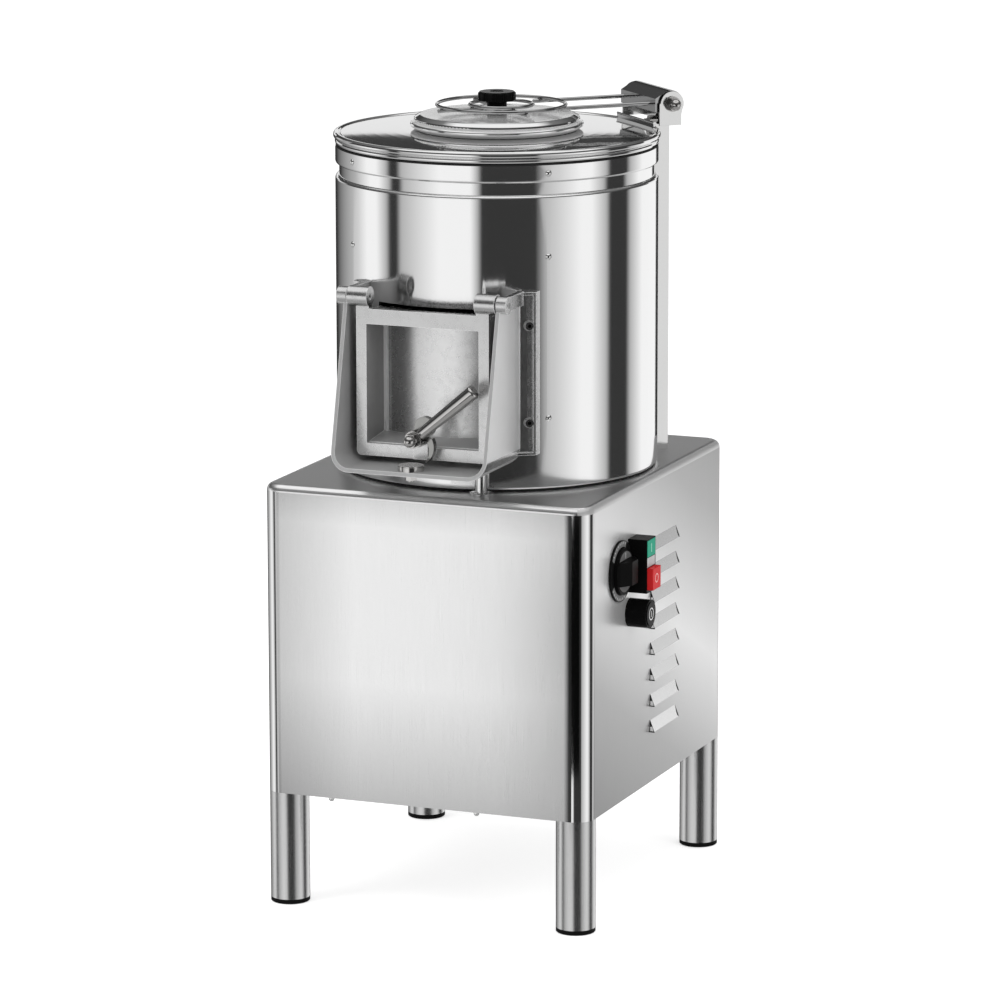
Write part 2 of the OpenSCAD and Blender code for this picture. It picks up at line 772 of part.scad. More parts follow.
// Threaded stud that is fixed in the lid, with its spacer under the hub plate
module lid_stud() {
    color(black) {
        translate([0, 0, lid_top - cover_sheet - 3]) cylinder(r = 11, h = 3);
        translate([0, 0, lid_top - cover_sheet - 1]) cylinder(r = stud_r, h = hub_top - lid_top + cover_sheet + 13);
        translate([0, 0, lid_top]) cylinder(r = 12.5, h = hub_gap);
    }
}

module lid_knob() {
    head_z = hub_top + 0.2 + knob_neck_h;
    scallop_r = knob_r * PI / knob_lobes * 0.52;
    color(black) difference() {
        union() {
            translate([0, 0, hub_top + 0.2]) cylinder(r = knob_neck_r, h = knob_neck_h + 1);
            translate([0, 0, head_z]) rotate_extrude() polygon([[0, 0], [knob_r - 1, 0], [knob_r, 1],
                [knob_r, knob_head_h - 2], [knob_r - 2, knob_head_h], [0, knob_head_h]]);
        }
        for (i = [0:knob_lobes - 1]) rotate([0, 0, (i + 0.5) * 360 / knob_lobes])
            translate([knob_r + scallop_r * 0.35, 0, head_z - 0.5])
                cylinder(r = scallop_r, h = knob_head_h + 1, $fn = 32);
        translate([0, 0, head_z + knob_head_h - 0.8]) cylinder(r = 9, h = 2);
        translate([0, 0, hub_top - 1]) cylinder(r = stud_r + run_gap, h = 14);
    }
}

// ---------------------------------------------------------------- lid arm and hinge

arm_half = hinge_w / 2 - 2;
front_face = -21.6;

// Half outline of the arm's hinge plate about the hinge line: X leads away from the drum
module curl_outline() {
    low = -10.2;
    high = 7;
    lean = 125;
    tangent = curl_r * [cos(lean), sin(lean)];
    inner = (curl_r - curl_t) * [cos(lean), sin(lean)];
    polygon([[front_face, low], [front_face, high], tangent, inner, [front_face + curl_t, high - 0.6],
        [front_face + curl_t, low]]);
    difference() {
        circle(curl_r);
        circle(curl_r - curl_t);
        polygon([[0, 0], 3 * tangent, [-3 * curl_r, -3 * curl_r], [3 * curl_r, -3 * curl_r],
            3 * curl_r * [cos(49), sin(49)]]);
    }
}

module cheek_outline() {
    circle(curl_r - curl_t / 2);
    polygon([[front_face + curl_t / 2, -10.2], [front_face + curl_t / 2, 6], [-9, 12.5], [9, -6], [0, -curl_r + 2.5]]);
}

module lid_arm() {
    rod_end = ring_offset + sqrt(pow(ring_r, 2) - pow(rod_spread / 2, 2)) - 10;
    color(polished) arm_frame() {
        translate([hinge_reach, 0, hinge_z]) {
            along_y(2 * arm_half) curl_outline();
            difference() {
                union() {
                    for (s = [-1, 1]) translate([0, s * (arm_half - curl_t / 2), 0]) along_y(curl_t) cheek_outline();
                    rotate([90, 0, 0]) cylinder(r = hinge_bolt_r + 2.5, h = hinge_w - 2 * seat_gap, center = true);
                }
                rotate([90, 0, 0]) cylinder(r = hinge_bolt_r + run_gap, h = hinge_w + 10, center = true);
            }
        }
        // the two rods, from the hinge plate to the outer ring
        for (s = [-1, 1]) translate([rod_end, s * rod_spread / 2, rod_z])
            rotate([0, 90, 0]) cylinder(r = rod_r, h = hinge_reach + front_face + curl_t / 2 - rod_end, $fn = 32);
        // rings, their cross bars and the plate that the lid hangs from
        for (r = [ring_r, ring_inner_r]) translate([ring_offset, 0, wire_z])
            rotate_extrude($fn = 96) translate([r, 0]) circle(wire_r, $fn = 24);
        for (s = [-1, 1]) translate([ring_offset, 0, rod_z]) rotate([s * 90, 0, 0])
            translate([0, 0, hub_plate_r - 8]) cylinder(r = rod_r, h = ring_r + 5 - hub_plate_r + 8, $fn = 32);
        translate([-hub_plate_r + 8, 0, rod_z]) rotate([0, -90, 0])
            cylinder(r = rod_r, h = ring_r - ring_offset + 5 - hub_plate_r + 8, $fn = 32);
        difference() {
            translate([0, 0, hub_z]) cylinder(r = hub_plate_r, h = hub_top - hub_z);
            translate([0, 0, hub_z - 1]) cylinder(r = stud_r + hole_gap, h = 20);
        }
    }
}

post_out = hinge_reach + 14.6;       // outer face of the post's web
post_top = cover_z - 0.6;
back_face = post_out - post_t;       // outer face of the bracket's back wall
cheek_front = hinge_reach - 17.6;

module hinge_post() {
    w = post_w;
    color(steel) arm_frame() difference() {
        union() {
            difference() {
                translate([post_out - post_d, -w / 2, deck_z]) cube([post_d, w, post_top - deck_z]);
                translate([post_out - post_d - 1, -w / 2 + post_t, deck_z + post_t])
                    cube([post_d - post_t + 1, w - 2 * post_t, post_top - deck_z]);
            }
        }
        translate([post_out - 10, 0, post_top - 60]) rotate([0, 90, 0]) cylinder(r = 2 + hole_gap, h = 30);
    }
}

// Screw place at the top of the post, with Z leading away from the drum
module at_post_screw() {
    arm_frame() translate([post_out, 0, post_top - 60]) rotate([0, 90, 0]) children();
}

module hinge_bracket() {
    half = hinge_w / 2;
    low = post_top - hinge_z;
    tab_w = post_w - 2 * post_t - 1;
    color(polished) arm_frame() difference() {
        union() {
            for (s = [-1, 1]) translate([hinge_reach, s * (half + bracket_t / 2), hinge_z]) along_y(bracket_t) {
                circle(curl_r - 1);
                polygon([[cheek_front - hinge_reach, low], [cheek_front - hinge_reach, 0], [0, curl_r - 1],
                    [curl_r - 1, 0], [back_face - hinge_reach, -curl_r + 3], [back_face - hinge_reach, low]]);
            }
            translate([back_face - bracket_t, -half - bracket_t, post_top]) cube([bracket_t, 2 * half + 2 * bracket_t, 13]);
            translate([back_face - bracket_t, -tab_w / 2, post_top - tab_len]) cube([bracket_t, tab_w, tab_len + 1]);
        }
        translate([hinge_reach, 0, hinge_z]) rotate([90, 0, 0])
            cylinder(r = hinge_bolt_r + hole_gap, h = hinge_w + 40, center = true);
        translate([post_out - 10, 0, post_top - 60]) rotate([0, 90, 0]) cylinder(r = 2 + hole_gap, h = 30);
        translate([switch_front, switch_side, switch_z]) rotate([0, 90, 0]) cylinder(r = switch_r - 2.5 + hole_gap, h = 60);
    }
}

// Bolt through both cheeks, its head on the left and a washer and cap nut on the right
module hinge_bolt() {
    half = hinge_w / 2 + bracket_t;
    color(polished) arm_frame() translate([hinge_reach, 0, hinge_z]) {
        rotate([90, 0, 0]) cylinder(r = hinge_bolt_r, h = 2 * half + 11, center = true);
        translate([0, half + 6, 0]) rotate([90, 0, 0]) cylinder(r = hinge_bolt_r * 1.8, h = 6, $fn = 6);
        translate([0, -half, 0]) rotate([90, 0, 0]) {
            cylinder(r = hinge_bolt_r * 2, h = 2);
            translate([0, 0, 2]) acorn_nut(hinge_bolt_r * 1.8, 16);
        }
    }
}

switch_r = 7;
plunger_r = 4.5;
switch_side = -33;
switch_z = cover_z + 5.5;
switch_travel = 3;
plunger_front = flange_reach + 1.5;
switch_front = flange_reach + 14;

// Interlock's axis, with Z leading away from the drum from the switch's front face
module at_switch() {
    arm_frame() translate([switch_front, switch_side, switch_z]) rotate([0, 90, 0]) children();
}

module interlock_switch() {
    len = back_face - bracket_t - switch_front;
    color(black) at_switch() difference() {
        union() {
            cylinder(r = switch_r, h = len);
            translate([0, 0, len - 1]) cylinder(r = switch_r - 2.5, h = bracket_t + 3);
        }
        translate([0, 0, -1]) cylinder(r = plunger_r + run_gap, h = 16);
    }
}

module interlock_plunger() {
    color(polished) at_switch() {
        translate([0, 0, plunger_front - switch_front]) cylinder(r = plunger_r + 0.3, h = 5);
        translate([0, 0, plunger_front - switch_front + 4]) cylinder(r = plunger_r, h = switch_front - plunger_front + 6);
    }
}

// ---------------------------------------------------------------- chute and door

module u_outline(w, h, r) {
    difference() {
        union() {
            translate([-w / 2, r]) square([w, h - r]);
            translate([-w / 2 + r, 0]) square([w - 2 * r, h]);
            for (s = [-1, 1]) translate([s * (w / 2 - r), r]) circle(r);
        }
    }
}

// Flange of the chute on one side, curved to the drum, with a lip along its free edges
module chute_flange(s) {
    inner = chute_w / 2 + chute_wall - 2;
    outer = chute_w / 2 + chute_wall + chute_flange_w;
    z0 = chute_floor_z + 9;
    lip = 3.5;
    face_r = drum_r + chute_flange_t;
    module band(r, x0, x1, z1, z2) {
        intersection() {
            translate([0, 0, z1]) ring(r, drum_r + hole_gap, z2 - z1, $fn = 144);
            translate([s > 0 ? x0 : -x1, -drum_r - 40, z1]) cube([x1 - x0, 140, z2 - z1]);
        }
    }
    band(face_r, inner, outer, z0, chute_top);
    band(face_r + 4, outer - lip, outer, z0, chute_top);
    for (z = [z0, chute_top - lip]) band(face_r + 4, inner, outer, z, z + lip);
}

chute_screw_azimuth = asin((chute_w / 2 + chute_wall + chute_flange_w / 2) / (drum_r + chute_flange_t));
chute_screw_z = [chute_floor_z + 50, chute_top - 42];

// Screw places on the chute's flanges, with Z leading out of the drum
module at_chute_screws() {
    for (s = [-1, 1], z = chute_screw_z) rotate([0, 0, -90 + s * chute_screw_azimuth])
        translate([drum_r + chute_flange_t, 0, z]) rotate([0, 90, 0]) children();
}

module chute() {
    out_w = chute_w + 2 * chute_wall;
    depth = chute_floor_reach;
    front = 60;
    color(cast) difference() {
        union() {
            intersection() {
                difference() {
                    translate([0, -depth / 2, chute_z]) along_y(depth) u_outline(out_w, chute_h, chute_corner_r);
                    translate([0, -depth / 2, chute_floor_z]) along_y(depth + 2)
                        u_outline(chute_w, chute_h + 10, chute_corner_r - chute_wall);
                }
                // sloping front edge
                along_x(out_w + 10) polygon([[-chute_floor_reach, chute_z], [-chute_top_reach, chute_top],
                    [0, chute_top], [0, chute_z]]);
            }
            for (s = [-1, 1]) {
                chute_flange(s);
                // ear with the boss for the hinge pin
                translate([s * (ear_x + ear_len / 2 + 0.4), -door_hinge_reach, door_hinge_z])
                    rotate([0, 90, 0]) cylinder(r = ear_r, h = ear_len - 0.8, center = true);
                translate([s > 0 ? ear_x + 2 : -ear_x - ear_len + 4, -door_hinge_reach, door_hinge_z - 9])
                    cube([ear_len - 6, front, 17]);
            }
        }
        translate([0, 0, chute_z - 20]) cylinder(r = drum_r + hole_gap, h = chute_h + 60, $fn = 144);
        for (s = [-1, 1]) translate([s * (ear_x + ear_len / 2), -door_hinge_reach, door_hinge_z])
            rotate([0, 90, 0]) cylinder(r = door_pin_r + hole_gap, h = ear_len + 6, center = true);
        at_chute_screws() translate([0, 0, -20]) cylinder(r = 3 + hole_gap, h = 40);
        translate([striker_x, -striker_reach, chute_z - 5]) cylinder(r = 4 + hole_gap, h = 30);
        translate([stay_x, -stay_reach, chute_z - 5]) cylinder(r = 3 + hole_gap, h = 30);
    }
}

// Socket-head screws and washers that hold the chute's flanges to the drum
module chute_screws() {
    color(black) at_chute_screws() difference() {
        union() {
            cylinder(r = 6.8, h = 1.2);
            cylinder(r = 5, h = 6);
            translate([0, 0, -chute_flange_t + 0.2]) cylinder(r = 3, h = chute_flange_t);
        }
        translate([0, 0, 3]) cylinder(r = 2.6, h = 5, $fn = 6);
    }
}

// Stay between the deck and the chute's floor
module chute_stay() {
    color(polished) translate([stay_x, -stay_reach, 0]) {
        translate([0, 0, deck_z]) cylinder(r = stay_r + 6.5, h = 3);
        translate([0, 0, deck_z]) cylinder(r = stay_r, h = chute_lift);
        translate([0, 0, chute_z - 1]) cylinder(r = 3, h = chute_wall + 1);
    }
}

// Striker disc on the chute's floor, with its bolt and the nut underneath
module striker() {
    color(polished) translate([striker_x, -striker_reach, 0]) {
        translate([0, 0, chute_floor_z]) cylinder(r = striker_r, h = striker_h - 1);
        translate([0, 0, chute_floor_z + 1]) cylinder(r = striker_r - 1, h = striker_h - 1);
        translate([0, 0, chute_z - 9]) cylinder(r = 4, h = chute_wall + 10);
        translate([0, 0, chute_z - 7]) cylinder(r = 7.5, h = 7, $fn = 6);
    }
}

// Side outline of the door's box, drawn in or out by g
module box_profile(g, low_front, low_back, top) {
    polygon([[-door_reach + 1, low_front - g], [-door_back, low_back - g], [-door_back, top], [-door_reach + 1, top + 1]]);
}

module door() {
    inner_w = door_w - 2 * door_bar;
    low = door_z + door_low_bar;
    box_low = low - door_wall - 3;
    box_top_z = door_top - 5.5;
    color(cast) difference() {
        union() {
            // face frame
            translate([0, -door_reach + door_t / 2, 0]) along_y(door_t) difference() {
                translate([0, door_z]) difference() {
                    translate([-door_w / 2, 0]) square([door_w, door_h]);
                    for (s = [-1, 1]) difference() {
                        translate([s > 0 ? door_w / 2 - 6 : -door_w / 2, 0]) square([6, 6]);
                        translate([s * (door_w / 2 - 6), 6]) circle(6);
                    }
                }
                translate([-inner_w / 2, low]) square([inner_w, door_h - door_low_bar - door_top_bar]);
            }
            // box behind the frame, closed by the curved panel
            difference() {
                along_x(door_box_w) box_profile(0, box_low, low - 1.5, box_top_z);
                difference() {
                    along_x(inner_w) box_profile(0, low, low + door_rise, box_top_z - door_wall);
                    translate([0, 0, door_z]) cylinder(r = panel_r, h = door_h, $fn = 144);
                }
                translate([0, -door_reach, low]) translate([-inner_w / 2, -5, 0])
                    cube([inner_w, door_t + 5, door_h - door_low_bar - door_top_bar]);
                translate([0, 0, door_z - 10]) cylinder(r = panel_r - panel_t, h = door_h + 20, $fn = 144);
            }
            // ledges along the panel's sides
            intersection() {
                for (s = [-1, 1]) translate([s * (inner_w / 2 - 2.5) - 3, -panel_r + 8, low + 2])
                    cube([6, 12, box_top_z - door_wall - low - 4]);
                translate([0, 0, door_z]) ring(drum_r + 2, panel_r - 2, door_h, $fn = 144);
            }
            for (s = [-1, 1]) {
                translate([s * (barrel_x - barrel_len / 2), -door_hinge_reach, door_hinge_z])
                    rotate([0, 90, 0]) cylinder(r = barrel_r, h = barrel_len, center = true);
                translate([s > 0 ? barrel_x - barrel_len : -door_w / 2, -door_reach, door_top - 6])
                    cube([door_w / 2 - barrel_x + barrel_len, door_t + 3, 14]);
            }
            // lug that carries the latch
            translate([0, -door_reach - lug_t / 2 + 0.5, 0]) along_y(lug_t + 1) {
                translate([-10, door_z + 1]) square([20, latch_lift - 1]);
                translate([0, pivot_z]) circle(10);
            }
        }
        for (s = [-1, 1]) translate([s * (barrel_x - barrel_len / 2), -door_hinge_reach, door_hinge_z])
            rotate([0, 90, 0]) cylinder(r = door_pin_r + run_gap, h = barrel_len + 2, center = true);
        translate([0, -door_reach - 20, pivot_z]) rotate([-90, 0, 0]) cylinder(r = latch_bolt_r + hole_gap, h = 30);
    }
}

module door_pins() {
    color(polished) for (s = [-1, 1])
        translate([s * (ear_x + (ear_len - barrel_len + 2) / 2), -door_hinge_reach, door_hinge_z])
            rotate([0, 90, 0]) cylinder(r = door_pin_r, h = ear_len + barrel_len - 1, center = true);
}

// ---------------------------------------------------------------- latch

// Children about the latch's pivot: Z leads out of the door, towards the user
module at_pivot(reach) { translate([0, -reach, pivot_z]) rotate([90, 0, 0]) children(); }

// Bolt through the door's lug, with its inner nut, front washer and cap nut
module latch_bolt() {
    color(polished) {
        at_pivot(door_reach - 6) cylinder(r = latch_bolt_r, h = nut_y - door_reach + 6 + 8);
        at_pivot(door_reach - 6) cylinder(r = latch_bolt_r * 1.8, h = 4.9, $fn = 6);
        at_pivot(nut_y + seat_gap) cylinder(r = latch_bolt_r * 2.5, h = 1.6);
        at_pivot(nut_y + seat_gap + 1.6) acorn_nut(latch_bolt_r * 2.3, 16);
    }
}

// Cam plate: pivot disc, offset cam disc and the curved claw beside the striker
module latch_cam() {
    color(polished) at_pivot(cam_y) difference() {
        union() {
            cylinder(r = hub_r, h = cam_t);
            translate([9, 14, 0]) cylinder(r = cam_r, h = cam_t);
            linear_extrude(height = cam_t) intersection() {
                difference() {
                    translate([-2, -11]) circle(24);
                    translate([-7, -16]) circle(22.5);
                }
                translate([0, -latch_lift - 1]) square([40, latch_lift + 1]);
            }
        }
        translate([0, 0, -1]) cylinder(r = latch_bolt_r + run_gap, h = cam_t + 2);
    }
}

// Hub with the tapered lever, which widens to a flat rounded end
module latch_lever() {
    color(polished) at_pivot(hub_y) difference() {
        union() {
            cylinder(r = hub_r - 1, h = hub_len);
            translate([0, 0, hub_len / 2]) rotate([0, 0, lever_angle]) rotate([0, 90, 0]) rotate_extrude()
                polygon(concat([[0, 0], [lever_root_r, 0]],
                    arc([lever_end_r - lever_round_r, lever_len], lever_round_r, 0, 90), [[0, lever_len + lever_round_r]]));
        }
        translate([0, 0, -1]) cylinder(r = latch_bolt_r + run_gap, h = hub_len + 2);
    }
}

// ---------------------------------------------------------------- controls

// Children on the cabinet's right side: Z leads out of the panel
module on_side(reach, z) { translate([side_x, -reach, z]) rotate([0, 90, 0]) children(); }

// Dial plate, cut straight beside the switch box
module timer_dial() {
    color(steel) difference() {
        on_side(timer_reach, timer_z) ring(dial_r, 3.5, dial_t);
        translate([side_x - 1, -box_reach - 0.6, timer_z - dial_r]) cube([dial_t + 2, 2 * dial_r, 2 * dial_r]);
    }
}

module timer_body() {
    w = 44;
    color(black) difference() {
        translate([side_x - cabinet_sheet - 42, -timer_reach - w / 2, timer_z - w / 2]) cube([42, w, w]);
        on_side(timer_reach, timer_z) translate([0, 0, -30]) cylinder(r = 3 + run_gap, h = 40);
    }
}

module timer_knob() {
    z0 = dial_t + 0.4;
    z1 = z0 + timer_skirt_h;
    wide = timer_skirt_r * 0.93;
    color(black) on_side(timer_reach, timer_z) {
        translate([0, 0, z0]) cylinder(r = timer_skirt_r, h = timer_skirt_h);
        translate([0, 0, -22]) cylinder(r = 3, h = 22 + z0 + 1);
        // grip, tapering towards its face
        translate([0, 0, z1 - 0.5]) intersection() {
            grip(wide, timer_grip_h + 0.5);
            cylinder(r = timer_skirt_r - 0.3, h = timer_grip_h + 1);
        }
    }
}

// Grip outline drawn across the knob: wide at the skirt and narrow at its face
module grip(wide, h) {
    rotate([90, 0, 90]) linear_extrude(height = 30, center = true)
        polygon([[-wide, 0], [wide, 0], [wide - 3, h * 0.25], [10, h], [-10, h], [-wide + 3, h * 0.25]]);
}

// Pocket of a button or lens in the switch box's face
module box_pocket(z, h, depth, gap) {
    translate([box_x - depth, -box_reach + (box_w - cap_w) / 2 - gap, z - gap])
        cube([depth + 1, cap_w + 2 * gap, h + 2 * gap]);
}

module box_cap(z, h, x0, x1) {
    translate([x0, -box_reach + (box_w - cap_w) / 2, z]) cube([x1 - x0, cap_w, h]);
}

module stem_hole(z, h) {
    translate([box_x - 20, -box_reach + box_w / 2, z + h / 2]) rotate([0, 90, 0]) cylinder(r = 4 + run_gap, h = 20);
}

module stem(z, h, x1) {
    translate([box_x - 17, -box_reach + box_w / 2, z + h / 2]) rotate([0, 90, 0]) cylinder(r = 4, h = x1 - box_x + 17);
}

module switch_box() {
    color(black) difference() {
        translate([side_x, -box_reach, box_top - box_h]) cube([box_depth, box_w, box_h]);
        box_pocket(start_z, start_h, 8, slide_gap);
        box_pocket(stop_z, stop_h, 8, slide_gap);
        box_pocket(lens_z, lens_h, 3, 0.1);
        stem_hole(start_z, start_h);
        stem_hole(stop_z, stop_h);
    }
}

module power_lens() { color([0.75, 0.76, 0.76]) box_cap(lens_z, lens_h, box_x - 3, box_x - 0.2); }

module start_button() {
    color([0.05, 0.45, 0.30]) {
        box_cap(start_z, start_h, box_x - 4, box_x + 0.4);
        stem(start_z, start_h, box_x - 3);
    }
}

module stop_button() {
    color([0.75, 0.06, 0.06]) {
        box_cap(stop_z, stop_h, box_x - 4, box_x + stop_out);
        stem(stop_z, stop_h, box_x - 3);
    }
}

module round_collar() {
    color(black) on_side(round_reach, round_z) difference() {
        cylinder(r = round_r, h = round_out - 1);
        translate([0, 0, 10]) cylinder(r = round_r - 1.6, h = round_out);
        translate([0, 0, -1]) cylinder(r = 5 + run_gap, h = 20);
    }
}

module round_button() {
    color(black) on_side(round_reach, round_z) {
        translate([0, 0, 14]) cylinder(r = round_r - 1.6 - slide_gap, h = round_out - 15);
        translate([0, 0, round_out - 1.5]) cylinder(r = round_r - 3, h = 1.5);
        translate([0, 0, 1]) cylinder(r = 5, h = 14);
    }
}

// ---------------------------------------------------------------- drive

module bearing_housing() {
    color(cast) difference() {
        union() {
            translate([0, 0, housing_z0]) cylinder(r = housing_r, h = housing_z1 - housing_z0);
            translate([0, 0, deck_z - deck_sheet - 8]) cylinder(r = 78, h = 8);
        }
        translate([0, 0, housing_z0 - 1]) cylinder(r = 21, h = far);
        translate([0, 0, housing_z0 - 1]) cylinder(r = bearing_r + run_gap, h = bearing_w + 4);
        translate([0, 0, housing_z1 - 42]) cylinder(r = bearing_r + run_gap, h = 60);
        for (a = [45:90:315]) rotate([0, 0, a]) translate([64, 0, deck_z - 30]) cylinder(r = 4.5, h = 60);
    }
}

module bearing() {
    difference() {
        ring(bearing_r, bore_r, bearing_w);
        for (z = [-1, bearing_w - 0.8]) translate([0, 0, z]) ring(22.5, bore_r + 3.5, 1.8);
    }
}

module bearings() {
    color(polished) for (z = [housing_z0 + 3, housing_z1 - 42]) translate([0, 0, z]) bearing();
}

module shaft_seal() {
    color(rubber) translate([0, 0, housing_z1 - 12]) ring(bearing_r, bore_r, 8);
}

module main_shaft() {
    color(polished) {
        translate([0, 0, pulley_z - 6]) cylinder(r = shaft_r, h = plate_z + plate_t + 8 - pulley_z + 6);
        translate([0, 0, plate_z + plate_t]) cylinder(r = shaft_r + 6, h = 8, $fn = 6);
    }
}

// Flat-belt pulley with two rims, a web and a hub
module pulley(track_r, bore, hub_r, rim_t) {
    difference() {
        union() {
            cylinder(r = track_r, h = pulley_h);
            for (z = [0, pulley_h - 2.5]) translate([0, 0, z]) cylinder(r = track_r + belt_t + 1, h = 2.5);
        }
        translate([0, 0, -1]) cylinder(r = bore, h = pulley_h + 2);
        if (track_r - rim_t > hub_r) for (z = [-1, pulley_h / 2 + 3]) translate([0, 0, z])
            ring(track_r - rim_t, hub_r, pulley_h / 2 - 2);
    }
}

module big_pulley() { color(cast) translate([0, 0, pulley_z]) pulley(big_pulley_r, bore_r, 26, 9); }

module abrasive_plate() {
    color(grit) difference() {
        union() {
            translate([0, 0, plate_z]) cylinder(r = plate_r, h = plate_t, $fn = 144);
            translate([0, 0, plate_z - 4]) cylinder(r = 28, h = 5);
            // radial waves that tumble the potatoes
            intersection() {
                for (a = [0, 120, 240]) rotate([0, 0, a]) translate([30, 0, plate_z + plate_t + wave_h - 60])
                    rotate([0, 90, 0]) cylinder(r = 60, h = plate_r - 30);
                translate([0, 0, plate_z + 1]) cylinder(r = plate_r, h = 40, $fn = 144);
            }
        }
        translate([0, 0, plate_z - 10]) cylinder(r = bore_r, h = plate_t + 60);
        translate([0, 0, plate_z + plate_t]) cylinder(r = 29, h = 40);
    }
}

module motor() {
    top = motor_plate_z;
    terminal = [60, 30, 60];
    fin_t = 2;
    flange_t = 12;
    end_cap = 30;
    color([0.25, 0.30, 0.34]) translate([0, belt_centres, 0]) difference() {
        union() {
            translate([0, 0, top - motor_len]) cylinder(r = motor_r - 4, h = motor_len - flange_t);
            translate([0, 0, top - flange_t]) cylinder(r = motor_r, h = flange_t);
            translate([0, 0, top - motor_len]) cylinder(r = motor_r, h = end_cap);
            for (a = [0:15:345]) rotate([0, 0, a]) translate([motor_r - 6, -fin_t / 2, top - motor_len + end_cap - 1])
                cube([6, fin_t, motor_len - end_cap - flange_t + 2]);
            translate([-terminal[0] / 2, -motor_r - 14, top - motor_len / 2 - terminal[2] / 2 + 12]) cube(terminal);
        }
        translate([0, 0, top - motor_bore_depth]) cylinder(r = motor_bore_r, h = motor_bore_depth + 20);
    }
}

// Plate that carries the motor, hung from the deck on four studs
module motor_plate() {
    w = 2 * hanger_x + 20;
    d = hanger_y[1] - hanger_y[0] + 20;
    color(steel) {
        difference() {
            translate([-w / 2, hanger_y[0] - 10, motor_plate_z]) cube([w, d, motor_plate_t]);
            translate([0, belt_centres, motor_plate_z - 1]) cylinder(r = 18, h = 20);
        }
        for (x = [-1, 1], y = hanger_y) translate([x * hanger_x, y, motor_plate_z - 8]) {
            cylinder(r = 5, h = deck_z - deck_sheet - motor_plate_z + 8);
            translate([0, 0, 2]) cylinder(r = 9.2, h = 6, $fn = 6);
            translate([0, 0, deck_z - deck_sheet - motor_plate_z + 2]) cylinder(r = 9.2, h = 6, $fn = 6);
        }
    }
}

module motor_shaft() {
    low = motor_plate_z - motor_bore_depth + 2;
    color(polished) translate([0, belt_centres, low]) cylinder(r = motor_shaft_r, h = pulley_z + pulley_h + 3 - low);
}

module small_pulley() {
    color(cast) translate([0, belt_centres, pulley_z]) pulley(small_pulley_r, motor_bore_r, small_pulley_r, 0);
}

// Outline round both pulleys at a distance g from their tracks
module belt_outline(g) {
    r1 = big_pulley_r + g;
    r2 = small_pulley_r + g;
    b = asin((r1 - r2) / belt_centres);
    n = [cos(b), sin(b)];
    m = [-cos(b), sin(b)];
    circle(r1);
    translate([0, belt_centres]) circle(r2);
    polygon([r1 * n, [0, belt_centres] + r2 * n, [0, belt_centres] + r2 * m, r1 * m]);
}

module drive_belt() {
    color(rubber) translate([0, 0, belt_z]) difference() {
        linear_extrude(height = belt_w) belt_outline(belt_gap + belt_t);
        translate([0, 0, -1]) linear_extrude(height = belt_w + 2) belt_outline(belt_gap);
    }
}

// ---------------------------------------------------------------- services

// Inlet valve behind the rear panel, and the pipe that carries water up into the drum
module water_inlet() {
    pipe_top = shoulder_z - 30;
    bend = 24;
    run_z = inlet_z + 22;
    riser = pipe_reach * [cos(pipe_azimuth), sin(pipe_azimuth)];
    to_valve = [inlet_x, rear_y - 43] - riser;
    color([0.75, 0.72, 0.60]) {
        translate([inlet_x, rear_y, inlet_z]) rotate([-90, 0, 0]) difference() {
            union() {
                translate([0, 0, -30]) cylinder(r = inlet_r - 1, h = 32);
                translate([0, 0, -1]) cylinder(r = inlet_r, h = inlet_out + 1);
                translate([0, 0, -22]) cylinder(r = inlet_r + 5, h = 18, $fn = 6);
                translate([0, 0, cabinet_sheet]) cylinder(r = inlet_r + 5, h = 4, $fn = 6);
            }
            translate([0, 0, -20]) cylinder(r = inlet_r - 4, h = inlet_out + 40);
        }
        translate([inlet_x - 18, rear_y - 58, inlet_z - 18]) cube([36, 30, 52]);
    }
    color(polished) translate([riser[0], riser[1], run_z])
        rotate([0, 0, atan2(to_valve[1], to_valve[0])]) rotate([0, 90, 0])
            cylinder(r = pipe_r - 1, h = norm(to_valve));
    color(polished) rotate([0, 0, pipe_azimuth]) difference() {
        union() {
            translate([pipe_reach, 0, run_z - pipe_r - 3]) cylinder(r = pipe_r, h = pipe_top - bend / 2 - run_z + pipe_r + 3);
            translate([pipe_reach - bend / 2, 0, pipe_top - bend / 2]) rotate([90, 0, 0])
                rotate_extrude(angle = 90) translate([bend / 2, 0]) circle(pipe_r);
            translate([shell_r - liner_t - 6, 0, pipe_top]) rotate([0, 90, 0])
                cylinder(r = pipe_r, h = pipe_reach - bend / 2 - shell_r + liner_t + 6);
        }
        translate([shell_r - liner_t - 8, 0, pipe_top]) rotate([0, 90, 0]) cylinder(r = pipe_r - pipe_wall, h = 14);
    }
}

// Drain from the drum's floor, down through the cabinet and out behind it
module drain_pipe() {
    top = drum_z + floor_lift + floor_t;
    module run(r) {
        translate([drain_x, drain_y, drain_z + drain_bend_r]) cylinder(r = r, h = top - drain_z - drain_bend_r);
        translate([drain_x, drain_y + drain_bend_r, drain_z + drain_bend_r]) rotate([0, 90, 0]) rotate([0, 0, -90])
            rotate_extrude(angle = 90) translate([drain_bend_r, 0]) circle(r);
        translate([drain_x, drain_y + drain_bend_r, drain_z]) rotate([-90, 0, 0])
            cylinder(r = r, h = rear_y + drain_out - drain_y - drain_bend_r);
    }
    color([0.45, 0.46, 0.47]) difference() {
        union() {
            run(drain_r);
            // collar against the rear panel
            translate([drain_x, rear_y + cabinet_sheet, drain_z]) rotate([-90, 0, 0]) cylinder(r = drain_r + 6, h = 4);
        }
        run(drain_r - drain_wall);
        translate([drain_x, drain_y, top - 1]) cylinder(r = drain_r - drain_wall, h = 5);
        translate([drain_x, rear_y + drain_out - 1, drain_z]) rotate([-90, 0, 0])
            cylinder(r = drain_r - drain_wall, h = 5);
    }
}

